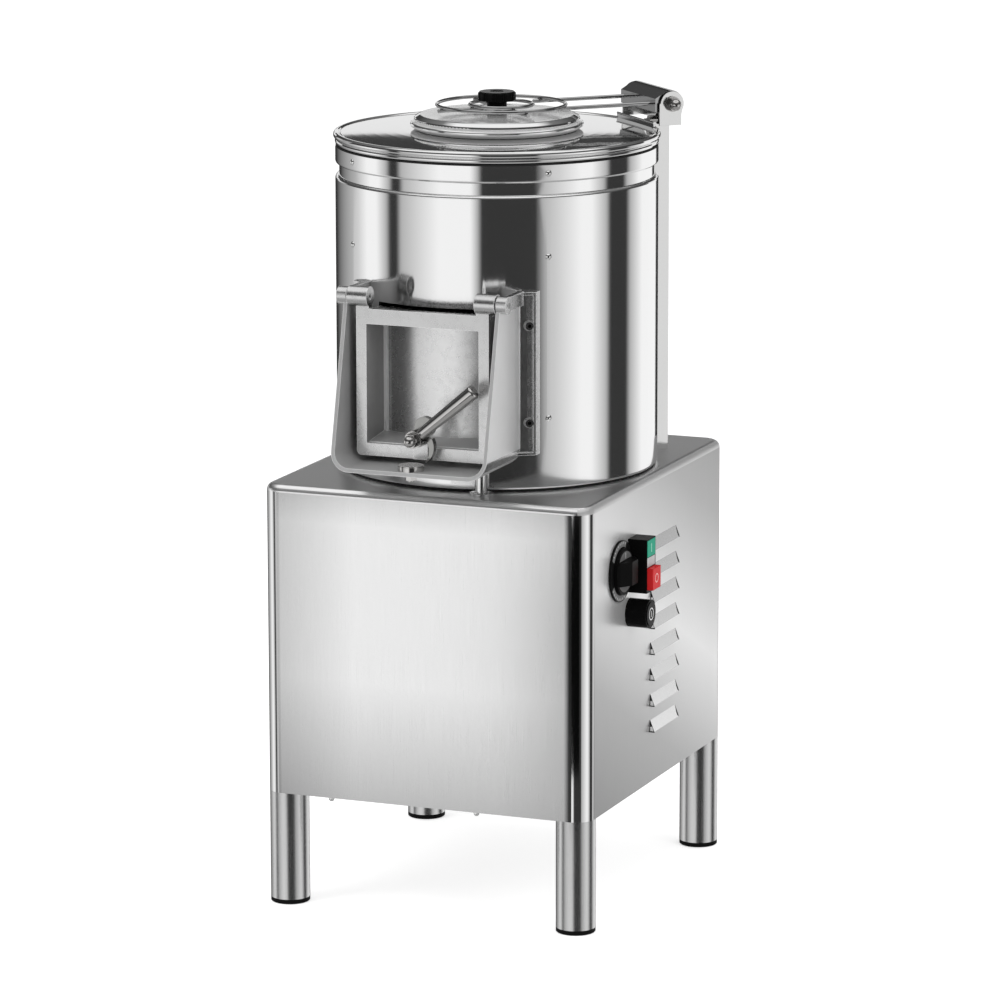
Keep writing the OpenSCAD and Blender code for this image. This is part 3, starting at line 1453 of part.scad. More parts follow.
module cable_gland() {
    color(black) translate([gland_x, rear_y + cabinet_sheet, gland_z]) rotate([-90, 0, 0]) difference() {
        union() {
            translate([0, 0, -10]) cylinder(r = gland_bore_r + 3, h = 14);
            cylinder(r = gland_bore_r + 7, h = 6, $fn = 6);
            translate([0, 0, 5]) cylinder(r1 = gland_bore_r + 5.5, r2 = gland_bore_r + 3, h = 14);
        }
        translate([0, 0, -11]) cylinder(r = gland_bore_r, h = 40);
    }
}

// ---------------------------------------------------------------- the nodes

at_origin() cabinet_shell();
at_origin() cabinet_top();
at_origin() rear_panel();
at_origin() base_plate();
at_origin() base_nuts();
at_origin() leg_front_left();
at_origin() leg_front_right();
at_origin() leg_rear_left();
at_origin() leg_rear_right();
at_origin() foot_caps();
at_origin() drum_shell();
at_origin() drum_band();
at_origin() drum_floor();
at_origin() drum_gasket();
at_origin() abrasive_liner();
at_origin() dome_screws();
at_origin() top_cover();
at_origin() cover_seal();
at_origin() hinge_post();
at_origin() hinge_bracket();
at_origin() hinge_bolt();
at_origin() interlock_switch();
at_origin() interlock_plunger();
at_origin() lid_arm();
at_origin() lid();
at_origin() lid_seal();
at_origin() lid_stud();
at_origin() lid_knob();
at_origin() chute();
at_origin() chute_screws();
at_origin() chute_stay();
at_origin() striker();
at_origin() door();
at_origin() door_pins();
at_origin() latch_bolt();
at_origin() latch_cam();
at_origin() latch_lever();
at_origin() timer_dial();
at_origin() timer_body();
at_origin() timer_knob();
at_origin() switch_box();
at_origin() power_lens();
at_origin() start_button();
at_origin() stop_button();
at_origin() round_collar();
at_origin() round_button();
at_origin() bearing_housing();
at_origin() bearings();
at_origin() shaft_seal();
at_origin() main_shaft();
at_origin() big_pulley();
at_origin() abrasive_plate();
at_origin() motor();
at_origin() motor_plate();
at_origin() motor_shaft();
at_origin() small_pulley();
at_origin() drive_belt();
at_origin() water_inlet();
at_origin() drain_pipe();
at_origin() cable_gland();
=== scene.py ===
# Looks of the potato peeler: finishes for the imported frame, marks on its controls, studio and camera.
import math

import bmesh
import bpy
from mathutils import Matrix, Vector

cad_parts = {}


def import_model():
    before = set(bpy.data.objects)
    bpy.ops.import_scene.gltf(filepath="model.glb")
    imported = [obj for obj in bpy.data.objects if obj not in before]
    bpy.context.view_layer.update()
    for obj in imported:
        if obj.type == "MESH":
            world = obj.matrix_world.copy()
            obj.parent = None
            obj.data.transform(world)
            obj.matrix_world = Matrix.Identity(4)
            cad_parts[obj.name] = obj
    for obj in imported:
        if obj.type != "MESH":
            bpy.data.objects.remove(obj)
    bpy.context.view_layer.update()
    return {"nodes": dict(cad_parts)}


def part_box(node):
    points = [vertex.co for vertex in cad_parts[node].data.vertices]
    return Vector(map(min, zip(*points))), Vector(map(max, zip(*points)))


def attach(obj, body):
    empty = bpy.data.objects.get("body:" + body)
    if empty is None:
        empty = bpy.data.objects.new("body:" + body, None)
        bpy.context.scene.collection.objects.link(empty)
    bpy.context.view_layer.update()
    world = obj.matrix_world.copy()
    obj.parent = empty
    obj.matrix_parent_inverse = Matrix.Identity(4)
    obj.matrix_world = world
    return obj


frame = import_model()
N = frame["nodes"]

OX = 16.45                     # the drum's axis lies this far to the left of x = 0, in mm

# ------------------------------------------------------------------ materials

def clear_tree(owner):
    owner.use_nodes = True
    owner.node_tree.nodes.clear()
    return owner.node_tree


def new_mat(name):
    m = bpy.data.materials.new(name)
    nt = clear_tree(m)
    out = nt.nodes.new("ShaderNodeOutputMaterial")
    b = nt.nodes.new("ShaderNodeBsdfPrincipled")
    nt.links.new(b.outputs[0], out.inputs[0])
    return m, nt, b


def shader(m):
    return next(n for n in m.node_tree.nodes if n.type == "BSDF_PRINCIPLED")


def coords(nt, scale):
    tc = nt.nodes.new("ShaderNodeTexCoord")
    mp = nt.nodes.new("ShaderNodeMapping")
    mp.inputs["Scale"].default_value = scale
    nt.links.new(tc.outputs["Object"], mp.inputs["Vector"])
    return mp.outputs[0]


def noise(nt, scale, detail, rough=0.5):
    n = nt.nodes.new("ShaderNodeTexNoise")
    n.inputs["Scale"].default_value = 1.0
    n.inputs["Detail"].default_value = detail
    n.inputs["Roughness"].default_value = rough
    nt.links.new(coords(nt, scale), n.inputs["Vector"])
    return n.outputs["Fac"]


def ramp(nt, fac, lo, hi, a=0.3, b=0.7):
    r = nt.nodes.new("ShaderNodeMapRange")
    r.inputs["From Min"].default_value = a
    r.inputs["From Max"].default_value = b
    r.inputs["To Min"].default_value = lo
    r.inputs["To Max"].default_value = hi
    nt.links.new(fac, r.inputs["Value"])
    return r.outputs[0]


def put(nt, socket, v):
    """Link a socket to v or set it to v; one number gives a colour socket a grey."""
    if isinstance(v, bpy.types.NodeSocket):
        nt.links.new(v, socket)
    elif socket.type == "RGBA":
        socket.default_value = (v, v, v, 1) if isinstance(v, float) else (*v, 1)
    else:
        socket.default_value = v


def math_node(nt, op, a, b):
    n = nt.nodes.new("ShaderNodeMath")
    n.operation = op
    put(nt, n.inputs[0], a)
    put(nt, n.inputs[1], b)
    return n.outputs[0]


def mix(nt, fac, a, b, blend="MIX"):
    """The colour a where fac is 0 and b where it is 1."""
    m = nt.nodes.new("ShaderNodeMix")
    m.data_type = "RGBA"
    m.blend_type = blend
    for k, v in ((0, fac), (6, a), (7, b)):
        put(nt, m.inputs[k], v)
    return m.outputs[2]


def bump(nt, b, height, strength, dist, edge=0.0):
    """Bump from a height; edge is the radius in metres to which sharp edges are softened."""
    n = nt.nodes.new("ShaderNodeBump")
    n.inputs["Strength"].default_value = strength
    n.inputs["Distance"].default_value = dist
    nt.links.new(height, n.inputs["Height"])
    nt.links.new(n.outputs[0], b.inputs["Normal"])
    if edge:
        v = nt.nodes.new("ShaderNodeBevel")
        v.samples = 6
        v.inputs["Radius"].default_value = edge
        nt.links.new(v.outputs[0], n.inputs["Normal"])


def graded(m, axis, stops):
    """Multiply a material's colour by a grey that runs along an axis or a weighted sum of the three.

    Stops are (mm, grey).
    """
    nt = m.node_tree
    colour = shader(m).inputs["Base Color"]
    along = nt.nodes.new("ShaderNodeVectorMath")
    along.operation = "DOT_PRODUCT"
    along.inputs[1].default_value = {"X": (1, 0, 0), "Z": (0, 0, 1)}.get(axis, axis)
    nt.links.new(nt.nodes.new("ShaderNodeTexCoord").outputs["Object"], along.inputs[0])
    lo, hi = stops[0][0], stops[-1][0]
    share = ramp(nt, along.outputs["Value"], 0.0, 1.0, lo / 1000, hi / 1000)
    grey = grey_ramp(nt, share, [((v - lo) / (hi - lo), g) for v, g in stops])
    put(nt, colour, mix(nt, 1.0, colour.links[0].from_socket, grey, "MULTIPLY"))


def grey_ramp(nt, fac, stops):
    cr = nt.nodes.new("ShaderNodeValToRGB")
    els = cr.color_ramp.elements
    for k, (pos, g) in enumerate(stops):
        e = els[k] if k < 2 else els.new(pos)
        e.position = pos
        e.color = (g, g, g, 1)
    nt.links.new(fac, cr.inputs[0])
    return cr.outputs[0]


def metal(name, c1, c2, r1, r2, grain, strength=0.1, dist=0.0002, patch=4.0, edge=0.0):
    """Metal whose grain runs along the axis with the small scale in grain."""
    m, nt, b = new_mat(name)
    b.inputs["Metallic"].default_value = 1.0
    g = noise(nt, grain, 4.0, 0.6)
    put(nt, b.inputs["Base Color"], mix(nt, noise(nt, (patch, patch, patch), 3.0), c1, c2))
    put(nt, b.inputs["Roughness"], ramp(nt, g, r1, r2))
    bump(nt, b, g, strength, dist, edge)
    return m


def half_metal(m, amount):
    """Metal so finely marked that part of its light is scattered: 1 is all metal, 0 none."""
    shader(m).inputs["Metallic"].default_value = amount
    return m


def highlight_edges(m, radius, full=0.90, none=0.985):
    """Paint a highlight on a casting's edges, found where the normal that is rounded over radius leaves the
    true one.

    full and none are the cosines between the two normals where the painted highlight is complete and where
    it ends.
    """
    nt = m.node_tree
    p = shader(m)
    soft = nt.nodes.new("ShaderNodeBevel")
    soft.samples = 8
    soft.inputs["Radius"].default_value = radius
    dot = nt.nodes.new("ShaderNodeVectorMath")
    dot.operation = "DOT_PRODUCT"
    nt.links.new(soft.outputs[0], dot.inputs[0])
    nt.links.new(nt.nodes.new("ShaderNodeNewGeometry").outputs["Normal"], dot.inputs[1])
    # Painted highlight: where the rounded normal leaves the true one, the colour goes to white and the
    # metal to a quarter
    highlight_share = ramp(nt, dot.outputs["Value"], 1.0, 0.0, full, none)
    colour, metallic = p.inputs["Base Color"], p.inputs["Metallic"]
    put(nt, colour, mix(nt, highlight_share, colour.links[0].from_socket, 1.0))
    put(nt, metallic, ramp(nt, highlight_share, metallic.default_value, 0.25, 0.0, 1.0))
    return m


EDGE = 0.0012                  # radius in metres to which a casting's edges look rounded
EDGE_HIGHLIGHT = 0.0013                  # the same for the highlight painted on them


def casting(name, c1, c2, r1, r2, grain=110.0, strength=0.16, patch=22.0, edge=EDGE, metallic=1.0):
    """Cast aluminium with a fine grain, darker and lighter patches, and a highlight painted on its edges.
    """
    m = metal(name, c1, c2, r1, r2, (grain, grain, grain), strength, 0.0004, patch, edge)
    # Its edges get a painted highlight
    return highlight_edges(half_metal(m, metallic), EDGE_HIGHLIGHT)


def smeared(m, amount):
    """Spread a round polished wall's reflections along its height."""
    nt = m.node_tree
    b = shader(m)
    t = nt.nodes.new("ShaderNodeTangent")
    t.direction_type = "RADIAL"
    t.axis = "Z"
    nt.links.new(t.outputs[0], b.inputs["Tangent"])
    b.inputs["Anisotropic"].default_value = amount
    b.inputs["Anisotropic Rotation"].default_value = 0.25
    return m


def plastic(name, c1, c2, rough=0.25, grain=900.0, strength=0.05, coat=0.0, edge=0.0):
    m, nt, b = new_mat(name)
    b.inputs["IOR"].default_value = 1.12
    g = noise(nt, (grain, grain, grain), 2.0)
    put(nt, b.inputs["Base Color"], mix(nt, noise(nt, (30, 30, 30), 3.0), c1, c2))
    put(nt, b.inputs["Roughness"], ramp(nt, g, rough * 0.9, rough * 1.15))
    b.inputs["Coat Weight"].default_value = coat
    b.inputs["Coat Roughness"].default_value = 0.08
    bump(nt, b, g, strength, 0.0001, edge)
    return m


# Grains, as scales of their noise along X, Y and Z: three that run upright, and three without a direction
BRUSHED, SHEET, POLISHED = (1600, 1600, 18), (900, 900, 14), (900, 900, 30)
FINE, TURNED, FLAT = (700, 700, 700), (500, 500, 500), (40, 40, 40)

satin = metal("satin_steel", 0.70, 0.74, 0.24, 0.32, BRUSHED, 0.05, 0.00006)
leg_steel = metal("leg_steel", 0.60, 0.64, 0.20, 0.28, BRUSHED, 0.05, 0.00006)
# The cabinet's front, side, louvres, corners, deck and deck side take copies of one steel in the tones
# their faces take in this light: painted light and shade
satin_front = metal("satin_front", 0.94, 0.98, 0.22, 0.28, SHEET, 0.02, 0.00005, 2.5)
satin_side = half_metal(metal("satin_side", 0.83, 0.87, 0.28, 0.34, SHEET, 0.02, 0.00005, 2.5), 0.6)
hood_steel = metal("louvre_hood", 0.74, 0.78, 0.22, 0.28, SHEET, 0.02, 0.00005, 2.5)
corner_steel = metal("corner_steel", 0.80, 0.84, 0.06, 0.09, SHEET, 0.01, 0.00003, 2.5)
# Painted shade: a near-black sheet for the shade at the louvres' ends, beside them and along their rear
# ends
painted_shade = plastic("louvre_shade_dark", 0.02, 0.04, 0.6)
# Painted highlight: a light non-metal copy of the cabinet's steel for the front ends of the louvres
hood_end_highlight = plastic("louvre_end_highlight", 0.86, 0.90, 0.4)
satin_top = metal("satin_top", 0.93, 0.97, 0.28, 0.30, FLAT, 0.0, 0.00004)
deck_side = half_metal(metal("deck_side", 0.62, 0.66, 0.40, 0.44, FLAT, 0.0, 0.00004), 0.6)
mirror = metal("mirror_steel", 0.83, 0.86, 0.04, 0.06, POLISHED, 0.008, 0.00003)
drum_steel = smeared(metal("drum_steel", 0.86, 0.90, 0.08, 0.11, POLISHED, 0.01, 0.00003), 0.85)
bright = metal("bright_steel", (0.84, 0.84, 0.83), 0.90, 0.10, 0.16, FINE, 0.03, 0.0001, 4.0, 0.0004)
wire = metal("wire_steel", 0.42, 0.50, 0.07, 0.12, FINE, 0.02, 0.0001)
chrome = metal("polished_lever", (0.56, 0.55, 0.54), (0.66, 0.65, 0.64), 0.07, 0.13, TURNED, 0.03, 0.0001,
               9.0, 0.0004)
cast = casting("cast_aluminium", 0.62, 0.74, 0.20, 0.30)
# The door's and chute's faces take lit and shaded copies of the one casting by the way they turn: painted
# light and shade. The light plastic copy is a painted highlight on the door's ribs.
cast_frame = casting("cast_frame", 0.70, 0.80, 0.22, 0.30, strength=0.08, edge=0.0, metallic=0.8)
cast_wall_shaded = casting("cast_wall_shaded", 0.26, 0.36, 0.30, 0.40, metallic=0.4)
cast_ledge_shaded = casting("cast_ledge_shaded", 0.48, 0.58, 0.30, 0.40, metallic=0.4)
cast_rib_highlight = plastic("cast_rib_highlight", 0.84, 0.92, 0.35)
cast_slope_lit = casting("cast_slope_lit", 0.66, 0.76, 0.30, 0.40, 160.0, metallic=0.7)
cast_inside = metal("cast_inside", 0.50, 0.62, 0.40, 0.50, (160, 160, 160), 0.16, 0.0004, 22.0, EDGE)
half_metal(cast_inside, 0.5)
cast_side_lit = casting("cast_side_lit", 0.84, 0.92, 0.34, 0.44, strength=0.12, metallic=0.7)
cast_flange_shaded = casting("cast_flange_shaded", 0.26, 0.38, 0.28, 0.40, 240.0, 0.30, 30.0)
cast_panel = metal("cast_panel", 0.80, 0.88, 0.22, 0.30, (110, 110, 110), 0.08, 0.0004, 22.0)
half_metal(cast_panel, 0.75)
screw_dark = metal("screw_dark", 0.20, 0.26, 0.2, 0.3, FINE, 0.03, 0.0001)
# Painted light: a light non-metal copy of the lid's polished steel, for its underside
lid_under_lit = plastic("lid_under_lit", 0.72, 0.78, 0.4)
screw_rim = metal("screw_rim", 0.84, 0.90, 0.3, 0.4, FINE, 0.03, 0.0001)
black_gloss = plastic("black_gloss", 0.003, 0.006, 0.20, 700.0, 0.03, 0.0, 0.0006)
black_matte = plastic("black_matte", 0.006, 0.010, 0.45, 900.0, 0.2)
knob_black = plastic("knob_black", 0.003, 0.006, 0.38)
# Painted shade: a darker copy of the polished steel, for the latch cam
cam_steel_shaded = metal("cam_steel_shaded", (0.30, 0.30, 0.29), (0.40, 0.40, 0.39), 0.14, 0.20, TURNED, 0.03, 0.0001,
                  9.0, 0.0004)
lid_top = half_metal(metal("lid_top", 0.90, 0.94, 0.14, 0.18, POLISHED, 0.004, 0.00003), 0.6)
rubber = plastic("rubber", 0.015, 0.028, 0.7, 700.0, 0.3)
green = plastic("green_plastic", (0.01, 0.33, 0.20), (0.015, 0.38, 0.24), 0.22, 700.0, 0.03, 0.0, 0.0008)
green_mark = plastic("green_mark", (0.30, 0.66, 0.52), (0.34, 0.70, 0.56), 0.3)
red = plastic("red_plastic", (0.62, 0.018, 0.022), (0.70, 0.028, 0.03), 0.22, 700.0, 0.03, 0.0, 0.0016)
red_mark = plastic("red_mark", (0.86, 0.42, 0.40), (0.90, 0.48, 0.46), 0.3)
lens = plastic("grey_lens", (0.50, 0.51, 0.51), (0.56, 0.57, 0.57), 0.3, 500.0, 0.03, 0.2)
white_print = plastic("white_print", 0.80, 0.86, 0.4)
dial_grey = plastic("dial_grey", 0.17, 0.22, 0.40)
knob_face = plastic("knob_face", 0.13, 0.18, 0.35)
grit = plastic("abrasive_grit", (0.10, 0.095, 0.09), (0.20, 0.19, 0.18), 0.85, 260.0, 1.0)
motor_paint = plastic("motor_paint", (0.05, 0.075, 0.10), (0.07, 0.10, 0.13), 0.4, 300.0, 0.2)
brass = metal("brass", (0.72, 0.52, 0.22), (0.78, 0.58, 0.28), 0.2, 0.35, (600, 600, 600), 0.1)
grey_pipe = plastic("grey_pipe", (0.14, 0.145, 0.15), (0.18, 0.185, 0.19), 0.5, 500.0, 0.1)


def use(o, m):
    o.data.materials.clear()
    o.data.materials.append(m)


for node, m in {
    "cabinet_shell": satin, "cabinet_top": satin_top, "rear_panel": satin, "base_plate": satin,
    "base_nuts": bright, "leg_front_left": leg_steel, "leg_front_right": leg_steel,
    "leg_rear_left": leg_steel, "leg_rear_right": leg_steel, "foot_caps": black_matte,
    "drum_shell": drum_steel, "drum_band": drum_steel,
    "drum_floor": satin, "drum_gasket": rubber, "abrasive_liner": grit, "dome_screws": bright,
    "top_cover": mirror, "cover_seal": rubber, "hinge_post": bright, "hinge_bracket": bright,
    "hinge_bolt": chrome, "interlock_switch": black_matte, "interlock_plunger": chrome, "lid_arm": wire,
    "lid": mirror, "lid_seal": rubber, "lid_stud": black_gloss, "lid_knob": black_gloss, "chute": cast,
    "chute_screws": black_matte, "chute_stay": bright, "striker": chrome, "door": cast, "door_pins": bright,
    "latch_bolt": chrome, "latch_cam": cam_steel_shaded, "latch_lever": chrome, "timer_dial": black_matte,
    "timer_body": black_matte, "timer_knob": knob_black, "switch_box": black_gloss, "power_lens": lens,
    "start_button": green, "stop_button": red, "round_collar": black_gloss, "round_button": black_gloss,
    "bearing_housing": cast, "bearings": bright, "shaft_seal": rubber, "main_shaft": bright,
    "big_pulley": cast, "abrasive_plate": grit, "motor": motor_paint, "motor_plate": satin,
    "motor_shaft": bright, "small_pulley": cast, "drive_belt": rubber, "water_inlet": brass,
    "drain_pipe": grey_pipe, "cable_gland": black_matte,
}.items():
    use(N[node], m)


def by_face(node, mats, pick):
    """Give each face of a CAD node the one of several materials that pick returns for it."""
    o = N[node]
    o.data.materials.clear()
    for m in mats:
        o.data.materials.append(m)
    for f in o.data.polygons:
        f.material_index = mats.index(pick(f))


LEVEL = 0.99                   # a face whose normal is this near an axis is square to it
side_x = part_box("timer_dial")[0].x             # the plane of the cabinet's right side
OFF_SIDE = 0.0001              # what stands out farther than this belongs to a louvre


# The sheet's faces take lit and shaded copies of its steel by the way they turn: painted light and shade. A
# louvre's front end takes the light non-metal copy, a painted highlight.
def shell_face(f):
    out = f.center.x > side_x + OFF_SIDE
    if f.normal.x > LEVEL:
        return satin_side
    if f.normal.y < -LEVEL:
        return hood_end_highlight if out else satin_front
    return hood_steel if out and f.normal.x > 0.5 else corner_steel


# The deck's faces turned to the right take the darker copy of its steel: painted shade
def deck_face(f):
    return deck_side if f.normal.x > 0.35 and f.normal.z > -0.5 else satin_top


# The lid's underside takes the light non-metal copy: painted light
def lid_face(f):
    return lid_under_lit if f.normal.z < -0.12 else lid_top if f.normal.z > 0.96 else mirror


# Places on the door and the chute, in mm
RECESS_Y = -247                # the door's frame lies in front of this and its recess behind it
PANEL_Y = -205                 # the recessed panel lies behind this
PANEL_X = (-86, 53)            # and between these, where its curve meets the side ribs
FRAME_TOP, WALL_TOP, LEDGE_TOP = 779, 770, 620
TROUGH_IN, TROUGH_OUT = 99.5, 104              # half the chute's width, inside and outside
TROUGH_Y = -298                # the sloping front edge lies in front of this
TROUGH_FLOOR = 600             # the floor lies below this
FLANGE_X = (104.4, 120)        # the flat part of a flange, from the chute's middle


# Each face of the door takes the lit or shaded copy of the casting for its place and the way it turns:
# painted light and shade
def door_face(f):
    n, c = f.normal, f.center * 1000
    if n.y < -LEVEL and c.y < RECESS_Y - 0.5 and c.z < FRAME_TOP:
        return cast_frame
    if abs(n.z) < 0.1 and n.y < -0.9 and c.y > PANEL_Y:
        return cast_rib_highlight if n.x * n.x > 0.11 and not PANEL_X[0] <= c.x <= PANEL_X[1] else cast_panel
    if abs(n.x) > LEVEL and c.y > RECESS_Y and c.z < WALL_TOP:
        return cast_rib_highlight if PANEL_X[0] - 1 < c.x < PANEL_X[1] + 1 else cast_wall_shaded
    return cast_ledge_shaded if n.z > 0.9 and c.z < LEDGE_TOP and c.y > RECESS_Y else cast


# Each face of the chute takes the lit or shaded copy of the casting for its place and the way it turns:
# painted light and shade
def chute_face(f):
    n, c = f.normal, f.center * 1000
    x = abs(c.x + OX)
    if (x < TROUGH_IN and n.y > -0.9 and c.y > TROUGH_Y) or (n.z > 0.5 and c.z < TROUGH_FLOOR):
        return cast_inside
    if abs(n.x) > LEVEL and abs(x - TROUGH_OUT) < 0.5:
        return cast_side_lit
    if n.y < -0.95 and 0.1 < n.z < 0.4:
        return cast_slope_lit
    if n.y < -0.8 and FLANGE_X[0] < x < FLANGE_X[1] and 0.5 < abs(n.x) < 0.53:
        return cast_flange_shaded
    return cast


SCREW_AT = math.radians(32.54)                 # bearing of the chute's screws
SCREW_ROWS = (633, 755)        # their heights in mm
SOCKET_R, HEAD_R = 2.75, 4.9   # radii in mm of a screw's socket and of its dark face


def screw_face(f):
    c = f.center * 1000
    x, y = abs(c.x + OX), -c.y
    aside = math.hypot(x, y) * math.sin(math.atan2(x, y) - SCREW_AT)
    r = math.hypot(aside, min(abs(c.z - row) for row in SCREW_ROWS))
    return black_matte if r < SOCKET_R else screw_dark if r < HEAD_R else screw_rim


by_face("cabinet_shell", [corner_steel, satin_front, satin_side, hood_steel, hood_end_highlight], shell_face)
by_face("cabinet_top", [satin_top, deck_side], deck_face)
by_face("chute_screws", [black_matte, screw_dark, screw_rim], screw_face)
by_face("lid", [mirror, lid_under_lit, lid_top], lid_face)
by_face("door", [cast, cast_frame, cast_wall_shaded, cast_ledge_shaded, cast_rib_highlight, cast_panel], door_face)
by_face("chute", [cast, cast_flange_shaded, cast_side_lit, cast_slope_lit, cast_inside], chute_face)
# Tones that stand for reflections of a room that isn't modelled
graded(satin_front, "Z", [(146, 0.6), (300, 1.0), (500, 1.0), (535, 0.8)])
graded(satin_front, "X", [(-211, 0.7), (-110, 1.0), (80, 1.0), (172, 0.9), (178.5, 0.1)])
graded(satin_side, (0, 0.5, 1), [(50, 0.3), (200, 0.5), (365, 1.0), (560, 0.5), (650, 0.4)])
graded(hood_steel, "Z", [(210, 1.1), (464, 0.6)])
graded(cast_panel, "X", [(-92, 0.5), (-62, 0.5), (-42, 1.0), (8, 1.0), (53, 0.5)])
graded(cast_frame, "Z", [(590, 1.0), (779, 0.8)])

# ------------------------------------------------------------------ marks on the controls

def in_scene(name, data):
    o = bpy.data.objects.new(name, data)
    bpy.context.scene.collection.objects.link(o)
    return o


def built(name, bm, m):
    """The object made of a finished bmesh, in the material m."""
    me = bpy.data.meshes.new(name)
    bm.to_mesh(me)
    bm.free()
    o = in_scene(name, me)
    use(o, m)
    return o


def plates(name, loops, push, m, body):
    """Thin plates that ride on a body: each loop of 3-D points is given thickness along push."""
    bm = bmesh.new()
    for pts in loops:
        low = [bm.verts.new(Vector(q)) for q in pts]
        top = [bm.verts.new(Vector(q) + Vector(push)) for q in pts]
        bm.faces.new(top)
        bm.faces.new(low[::-1])
        for i in range(len(pts)):
            j = (i + 1) % len(pts)
            bm.faces.new((low[i], low[j], top[j], top[i]))
    bmesh.ops.recalc_face_normals(bm, faces=bm.faces)
    bm.normal_update()
    o = built(name, bm, m)
    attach(o, body)


def facing_right(name, outlines, x, t, m, body):
    """Plates of thickness t on the plane x, facing +X; outlines are loops of (y, z) points in metres."""
    plates(name, [[(x, y, z) for y, z in pts] for pts in outlines], (t, 0, 0), m, body)


def sector(c, r0, r1, a0, a1, n=24):
    """Outline of a ring sector about c = (y, z), angles in degrees from +Y towards +Z."""
    def at(r, k):
        a = math.radians(a0 + (a1 - a0) * k / n)
        return c[0] + r * math.cos(a), c[1] + r * math.sin(a)
    return [at(r1, k) for k in range(n + 1)] + [at(r0, k) for k in range(n, -1, -1)]


def ring_marks(c, r0, r1):
    return [sector(c, r0, r1, 0, 180), sector(c, r0, r1, 180, 360)]


def bar(c, w, h):
    return [(c[0] + w * i / 2, c[1] + h * j / 2) for i, j in ((-1, -1), (1, -1), (1, 1), (-1, 1))]


def middle(node):
    lo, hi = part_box(node)
    return (lo.y + hi.y) / 2, (lo.z + hi.z) / 2


def segment(c, r, level, n=20):
    """Part of a disc above level, or below it where level is negative."""
    a = math.degrees(math.asin(abs(level) / r))
    lo, hi = (a, 180 - a) if level > 0 else (180 + a, 360 - a)
    angles = [math.radians(lo + (hi - lo) * k / n) for k in range(n + 1)]
    return [(c[0] + r * math.cos(t), c[1] + r * math.sin(t)) for t in angles]


def front(node):
    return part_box(node)[1].x


def radius(node):
    lo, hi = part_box(node)
    return (hi.z - lo.z) / 2


PRINT = 0.00004                # thickness of a printed mark
INSERT = 0.0003                # and of the light pieces let into the timer's skirt
timer = middle("timer_knob")
dial_face, dial_r, skirt_r = front("timer_dial"), radius("timer_dial"), radius("timer_knob")
skirt_face = dial_face + 0.0049                # the skirt's gap and height above the dial
grip_half = 0.0156             # half the width that the knob's grip takes up on its skirt
facing_right("dial_crescents", [sector(timer, skirt_r + 0.0012, dial_r - 0.0008, a, a + 85)
                                for a in (65, 210)],
             dial_face, PRINT, dial_grey, "machine")
facing_right("dial_ticks", [sector(timer, dial_r - 0.0045, dial_r - 0.0018, a - 0.7, a + 0.7, 2)
                            for a in list(range(70, 150, 10)) + list(range(215, 295, 10))],
             dial_face + PRINT, PRINT, white_print, "machine")
facing_right("knob_inserts", [segment(timer, skirt_r - 0.0035, v) for v in (grip_half, -grip_half)],
             skirt_face, INSERT, knob_face, "timer_knob")
facing_right("knob_pointer", [bar((timer[0], timer[1] + 0.0205), 0.0011, 0.0075)],
             skirt_face + INSERT, PRINT, white_print, "timer_knob")
start, stop, test = middle("start_button"), middle("stop_button"), middle("round_button")
facing_right("start_mark", [bar(start, 0.0022, 0.011)],
             front("start_button"), PRINT, green_mark, "start_button")
facing_right("stop_mark", ring_marks(stop, 0.0044, 0.0060),
             front("stop_button"), PRINT, red_mark, "stop_button")
facing_right("round_mark", ring_marks(test, 0.0066, 0.0080) + [bar(test, 0.0014, 0.0078)],
             front("round_button"), PRINT, white_print, "round_button")

# ------------------------------------------------------------------ painted shade and highlights on the louvres' ends

HOODS = [0.464 - 0.0338 * k for k in range(8)]                 # top of each hood
HOOD_OUT, HOOD_H = 0.0055, 0.015               # how far a hood stands out, and its height
FRONT_END = -0.028             # the plane of the hoods' front ends
FILM = 0.00025                 # thickness of the plates of painted shade and highlight on those ends
SHADE = 0.00012                # and of the soft margins of painted shade on the side


def on_end(pts, y):
    """Points (out, down) of a hood's section, in mm, in the plane y, for every hood."""
    return [[(side_x + a / 1000, y, z - d / 1000) for a, d in pts] for z in HOODS]


def on_slope(pts, lift):
    """Points (y in mm, share of the slope) on each hood's sloping face."""
    return [[(side_x + HOOD_OUT * t + lift, y / 1000, z - HOOD_H * t) for y, t in pts] for z in HOODS]


def on_side(pts):
    """Points (y, z) in mm from the front end of each hood's top edge, on the cabinet's side."""
    return [[(side_x, FRONT_END + y / 1000, z + h / 1000) for y, h in pts] for z in HOODS]


SLIT_SHADE = [(-0.2, -0.4), (0.5, -0.4), (6.5, 15.6), (-0.2, 15.6)]
INNER_HIGHLIGHT = [(0.6, 8.2), (3.2, 8.2), (5.1, 13.9), (0.6, 13.9)]
MARGIN_SHADE = [(-3.2, -15.2), (0.0, -15.2), (0.0, -1.0), (-1.2, -8.5)]
TAIL_SHADE = [(64.0, 0.0), (62.4, 0.30), (60.6, 0.62), (60.8, 0.86), (63.8, 1.02), (64.0, 0.9), (64.0, 0.5)]
# The dark plates are painted shade: over each hood's front end, in a margin beside it and along its rear
# end. The light plate over the lower part of the front end is a painted highlight.
for name, loops, push, m in (
        ("louvre_slit_shade", on_end(SLIT_SHADE, FRONT_END - 0.0003), (0, FILM, 0), painted_shade),
        ("louvre_inner_highlights", on_end(INNER_HIGHLIGHT, FRONT_END - 0.0006), (0, FILM, 0), hood_end_highlight),
        ("louvre_margin_shade", on_side(MARGIN_SHADE), (SHADE, 0, 0), painted_shade),
        ("louvre_tail_shade", on_slope(TAIL_SHADE, 0.00004), (SHADE, 0, 0), painted_shade)):
    plates(name, loops, push, m, "machine")

# ------------------------------------------------------------------ stage: floor, light, camera

